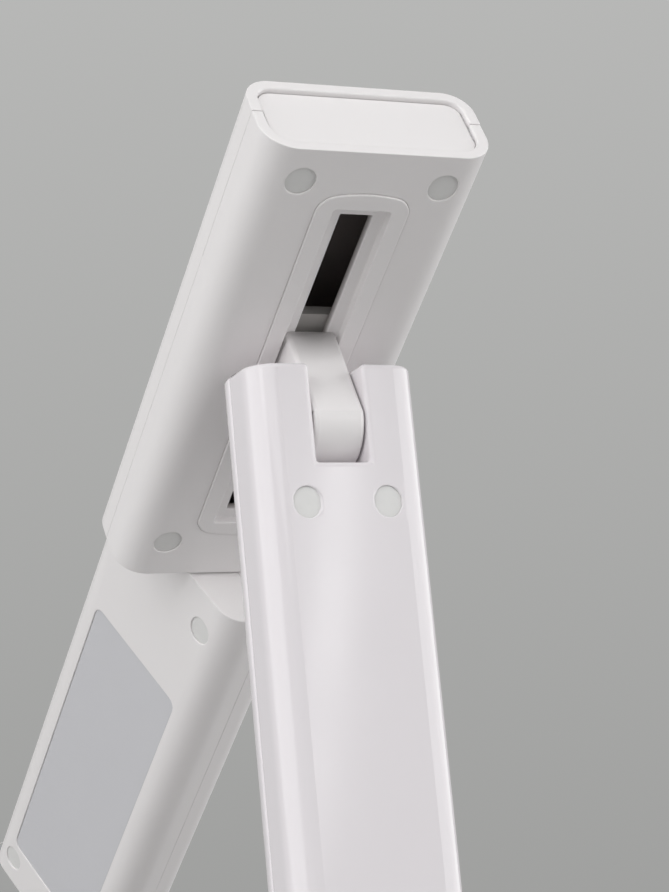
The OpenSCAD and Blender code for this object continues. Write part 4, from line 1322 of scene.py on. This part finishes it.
def build_tongue():
    """The tongue that the arm's top hinge carries, and its neck through the bar's track."""
    size = sizes()
    low, high = BAR.box("tongue")
    hinge = BAR.own(top_pin)
    radius = hinge[2] - low[2]
    foot = size.recess_depth - size.slide_gap - hinge[2]
    upper, lower = tongue_profile(radius, foot, size.tongue_crease)
    slab, quads = rounded_slab(upper, lower, high[0], size.tongue_round)
    slab = slab + (0.0, hinge[1], hinge[2])
    neck = block((-size.neck_width / 2, hinge[1] - size.neck_half, slab[:, 2].max() - NECK_ROOT),
                 (size.neck_width / 2, hinge[1] + size.neck_half, high[2]))
    make_piece("tongue_skin", "carriage", "white_satin", joined([(slab, quads), neck]), BAR,
               ["tongue"])


# The base and the frame's own solids

def round_base_edges():
    """Rounds the edges of the plain moulded pieces of the base, on the frame's own solids."""
    size = sizes()
    for node, width in (("base_shell", size.base_round), ("base_cover", size.base_round),
                        ("grip_pad", size.base_round), ("foot_bracket", size.tongue_round),
                        ("power_button", size.base_round)):
        solid = frame["nodes"][node]
        weld = solid.modifiers.new("joined points", "WELD")
        weld.merge_threshold = TINY
        flat = solid.modifiers.new("whole faces", "DECIMATE")
        flat.decimate_type = "DISSOLVE"
        flat.angle_limit = math.radians(FLAT_LIMIT)
        bevel = solid.modifiers.new("rounded edges", "BEVEL")
        bevel.width = width
        bevel.segments = BEVEL_SEGMENTS
        bevel.limit_method = "ANGLE"
        bevel.angle_limit = math.radians(SOLID_LIMIT)
        weighted = solid.modifiers.new("face weighted normals", "WEIGHTED_NORMAL")
        weighted.weight = NORMAL_WEIGHT


def finish_frame():
    """Gives every solid of the frame the finish of its material slot."""
    slots = {row["node"]: row["material_slot"] for row in frame["record"]["subparts"]}
    for node, solid in frame["nodes"].items():
        finish = MATERIALS[slots[node]]
        if not solid.material_slots:
            solid.data.materials.append(finish)
        for slot in solid.material_slots:
            slot.material = finish


# The studio

def backdrop_tone(tree, out, ramp_from):
    """A plain grey that runs from deep to pale with the height of the view's direction."""
    tone = colours()
    ramp = tree.nodes.new("ShaderNodeMapRange")
    ramp.inputs["From Min"].default_value = -VIEW_EDGE
    ramp.inputs["From Max"].default_value = VIEW_EDGE
    tree.links.new(ramp_from, ramp.inputs["Value"])
    mix = tree.nodes.new("ShaderNodeMix")
    mix.data_type = "RGBA"
    mix.inputs["A"].default_value = (*tone.backdrop_low, 1.0)
    mix.inputs["B"].default_value = (*tone.backdrop_high, 1.0)
    tree.links.new(ramp.outputs["Result"], mix.inputs["Factor"])
    tree.links.new(mix.outputs["Result"], out)


def seen_rays(tree):
    """1 for rays from the camera, from gloss and through glass, and 0 for light itself."""
    path = tree.nodes.new("ShaderNodeLightPath")
    total = path.outputs["Is Camera Ray"]
    for name in ("Is Glossy Ray", "Is Transmission Ray"):
        add = tree.nodes.new("ShaderNodeMath")
        add.operation = "ADD"
        add.use_clamp = True
        tree.links.new(total, add.inputs[0])
        tree.links.new(path.outputs[name], add.inputs[1])
        total = add.outputs["Value"]
    return total


def build_world():
    """The world: a plain graded grey to look at, and an even soft light on the object."""
    world = bpy.data.worlds.new("studio air")
    bpy.context.scene.world = world
    world.use_nodes = True
    tree = world.node_tree
    out = tree.nodes["World Output"]
    light = tree.nodes["Background"]
    light.inputs["Color"].default_value = (*FILL_COLOUR, 1.0)
    light.inputs["Strength"].default_value = FILL_LEVEL
    seen = tree.nodes.new("ShaderNodeBackground")
    coords = tree.nodes.new("ShaderNodeTexCoord")
    split = tree.nodes.new("ShaderNodeSeparateXYZ")
    tree.links.new(coords.outputs["Generated"], split.inputs["Vector"])
    backdrop_tone(tree, seen.inputs["Color"], split.outputs["Z"])
    mix = tree.nodes.new("ShaderNodeMixShader")
    tree.links.new(seen_rays(tree), mix.inputs["Fac"])
    tree.links.new(light.outputs["Background"], mix.inputs[1])
    tree.links.new(seen.outputs["Background"], mix.inputs[2])
    tree.links.new(mix.outputs["Shader"], out.inputs["Surface"])


def build_floor():
    """A pale floor that keeps the lamp's shadow and fades to the plain grey around it: its
    opacity falls smoothly from one radius to another, measured from the floor's middle."""
    mesh = bpy.data.meshes.new("studio_floor")
    mesh.from_pydata([(-FLOOR_HALF, -FLOOR_HALF, 0), (FLOOR_HALF, -FLOOR_HALF, 0),
                      (FLOOR_HALF, FLOOR_HALF, 0), (-FLOOR_HALF, FLOOR_HALF, 0)], [],
                     [(0, 1, 2, 3)])
    floor = bpy.data.objects.new("studio_floor", mesh)
    bpy.context.scene.collection.objects.link(floor)
    finish = Finish("studio_floor").set(Specular_IOR_Level=0.2, Roughness=0.9)
    finish.tinted(finish.noise(3.0), FLOOR_COLOUR, shade(FLOOR_COLOUR, 1.02))
    tree = finish.tree
    length = tree.nodes.new("ShaderNodeVectorMath")
    length.operation = "LENGTH"
    tree.links.new(finish.coords, length.inputs[0])
    fade = tree.nodes.new("ShaderNodeMapRange")
    fade.interpolation_type = "SMOOTHSTEP"
    fade.inputs["From Min"].default_value = FADE_FROM
    fade.inputs["From Max"].default_value = FADE_TO
    tree.links.new(length.outputs["Value"], fade.inputs["Value"])
    clear = tree.nodes.new("ShaderNodeBsdfTransparent")
    gone = tree.nodes.new("ShaderNodeMath")
    gone.operation = "MULTIPLY"
    tree.links.new(fade.outputs["Result"], gone.inputs[0])
    tree.links.new(seen_rays(tree), gone.inputs[1])
    mix = tree.nodes.new("ShaderNodeMixShader")
    tree.links.new(gone.outputs["Value"], mix.inputs["Fac"])
    tree.links.new(finish.shader.outputs["BSDF"], mix.inputs[1])
    tree.links.new(clear.outputs["BSDF"], mix.inputs[2])
    tree.links.new(mix.outputs["Shader"], tree.nodes["Material Output"].inputs["Surface"])
    mesh.materials.append(finish.material)


def aim(obj, place, target, lean=0.0):
    """Puts a lamp at a place, looking at a target, its top upwards but for a lean in degrees."""
    obj.location = place
    way = mathutils.Vector(target) - mathutils.Vector(place)
    turn = way.to_track_quat("-Z", "Y").to_matrix()
    tipped = turn @ mathutils.Matrix.Rotation(math.radians(lean), 3, "Z")
    obj.rotation_euler = tipped.to_euler()


def build_lamps():
    """Soft studio lamps, each with its shape, place, size and power. The slim oval one is the
    window light that the arm's glossy face mirrors as a band."""
    for name, shape, place, target, width, height, power, lean in LAMPS:
        light = bpy.data.lights.new(name, "AREA")
        light.shape = shape
        light.size, light.size_y = width, height
        light.energy = power
        lamp = bpy.data.objects.new(name, light)
        bpy.context.scene.collection.objects.link(lamp)
        aim(lamp, place, target, lean)


def build_camera():
    """The camera at the photograph's place: level, turned to the right of the frame's Y."""
    data = bpy.data.cameras.new("photo_camera")
    data.lens = LENS
    data.sensor_fit = "AUTO"
    data.sensor_width = SENSOR
    data.clip_start = CLIP_START
    camera = bpy.data.objects.new("photo_camera", data)
    bpy.context.scene.collection.objects.link(camera)
    camera.location = CAMERA_PLACE
    camera.rotation_euler = (
        math.radians(90 + CAMERA_PITCH), math.radians(CAMERA_ROLL), -math.radians(CAMERA_AZIMUTH))
    bpy.context.scene.camera = camera


def build_stage():
    """Floor, air, lamps, camera and the plain view transform."""
    build_world()
    build_floor()
    build_lamps()
    build_camera()
    bpy.context.scene.view_settings.view_transform = "Standard"


# The add-on

class LAMP_OT_finishes(bpy.types.Operator):
    """Make every finish and give the frame's solids theirs"""

    bl_idname = "lamp.finishes"
    bl_label = "Finishes"

    def execute(self, context):
        make_finishes()
        finish_frame()
        return {"FINISHED"}


class LAMP_OT_bar_shells(bpy.types.Operator):
    """Build the two shells of the bar"""

    bl_idname = "lamp.bar_shells"
    bl_label = "Bar shells"

    def execute(self, context):
        build_bar_shells()
        return {"FINISHED"}


class LAMP_OT_slot_frame(bpy.types.Operator):
    """Build the raised frame round the bar's slot"""

    bl_idname = "lamp.slot_frame"
    bl_label = "Slot frame"

    def execute(self, context):
        build_slot_frame()
        return {"FINISHED"}


class LAMP_OT_head_shells(bpy.types.Operator):
    """Build the two shells of the light head"""

    bl_idname = "lamp.head_shells"
    bl_label = "Head shells"

    def execute(self, context):
        build_head_shells()
        return {"FINISHED"}


class LAMP_OT_diffuser(bpy.types.Operator):
    """Build the milky lens of the light head"""

    bl_idname = "lamp.diffuser"
    bl_label = "Diffuser"

    def execute(self, context):
        build_diffuser()
        return {"FINISHED"}


class LAMP_OT_end_cap(bpy.types.Operator):
    """Build the end cap of the bar or the head"""

    bl_idname = "lamp.end_cap"
    bl_label = "End cap"

    part: bpy.props.EnumProperty(
        name="Part", description="The part that the cap closes",
        items=[("bar", "Bar", "The slotted bar"), ("head", "Head", "The light head")])

    def execute(self, context):
        build_end_cap(self.part)
        return {"FINISHED"}


class LAMP_OT_arm_shells(bpy.types.Operator):
    """Build the two shells of the arm"""

    bl_idname = "lamp.arm_shells"
    bl_label = "Arm shells"

    def execute(self, context):
        build_arm_shells()
        return {"FINISHED"}


class LAMP_OT_screw_caps(bpy.types.Operator):
    """Build the four soft caps over the screws of the bar, the head or the arm"""

    bl_idname = "lamp.screw_caps"
    bl_label = "Screw caps"

    part: bpy.props.EnumProperty(
        name="Part", description="The part whose screws the caps cover",
        items=[("bar", "Bar", "The slotted bar"), ("head", "Head", "The light head"),
               ("arm", "Arm", "The leaning arm")])

    def execute(self, context):
        build_screw_caps(self.part)
        return {"FINISHED"}


class LAMP_OT_tongue(bpy.types.Operator):
    """Build the tongue that joins the arm to the bar"""

    bl_idname = "lamp.tongue"
    bl_label = "Tongue"

    def execute(self, context):
        build_tongue()
        return {"FINISHED"}


class LAMP_OT_base(bpy.types.Operator):
    """Round the edges of the base, its foot bracket and its button"""

    bl_idname = "lamp.base"
    bl_label = "Base"

    def execute(self, context):
        round_base_edges()
        return {"FINISHED"}


class LAMP_OT_stage(bpy.types.Operator):
    """Set up the floor, the air, the studio lamps and the camera"""

    bl_idname = "lamp.stage"
    bl_label = "Stage"

    def execute(self, context):
        build_stage()
        return {"FINISHED"}


STEPS = [LAMP_OT_finishes, LAMP_OT_bar_shells, LAMP_OT_slot_frame, LAMP_OT_head_shells,
         LAMP_OT_diffuser, LAMP_OT_arm_shells, LAMP_OT_tongue, LAMP_OT_base, LAMP_OT_stage]
PART_STEPS = [LAMP_OT_end_cap, LAMP_OT_screw_caps]


class LAMP_PT_panel(bpy.types.Panel):
    """The lamp's sizes, colours and building steps"""

    bl_idname = "LAMP_PT_panel"
    bl_label = "Folding desk lamp"
    bl_space_type = "VIEW_3D"
    bl_region_type = "UI"
    bl_category = "Desk Lamp"

    def draw(self, context):
        for group in (sizes(), colours()):
            column = self.layout.column(align=True)
            for name in group.bl_rna.properties.keys():
                if name not in ("rna_type", "name"):
                    column.prop(group, name)
        for step in STEPS:
            self.layout.operator(step.bl_idname)
        for step in PART_STEPS:
            self.layout.operator_menu_enum(step.bl_idname, "part")


CLASSES = [LampSizes, LampColours, *STEPS, *PART_STEPS, LAMP_PT_panel]


def register():
    """Adds the classes and the scene's two groups of settings."""
    for each in CLASSES:
        bpy.utils.register_class(each)
    bpy.types.Scene.lamp_sizes = bpy.props.PointerProperty(type=LampSizes)
    bpy.types.Scene.lamp_colours = bpy.props.PointerProperty(type=LampColours)


def unregister():
    """Takes the groups of settings and the classes away again."""
    del bpy.types.Scene.lamp_colours
    del bpy.types.Scene.lamp_sizes
    for each in reversed(CLASSES):
        bpy.utils.unregister_class(each)


def main():
    """Builds the lamp and its stage."""
    register()
    bpy.ops.lamp.finishes()
    bpy.ops.lamp.bar_shells()
    bpy.ops.lamp.slot_frame()
    bpy.ops.lamp.end_cap(part="bar")
    bpy.ops.lamp.screw_caps(part="bar")
    bpy.ops.lamp.head_shells()
    bpy.ops.lamp.end_cap(part="head")
    bpy.ops.lamp.screw_caps(part="head")
    bpy.ops.lamp.diffuser()
    bpy.ops.lamp.arm_shells()
    bpy.ops.lamp.screw_caps(part="arm")
    bpy.ops.lamp.tongue()
    bpy.ops.lamp.base()
    bpy.ops.lamp.stage()


if __name__ == "__main__":
    main()
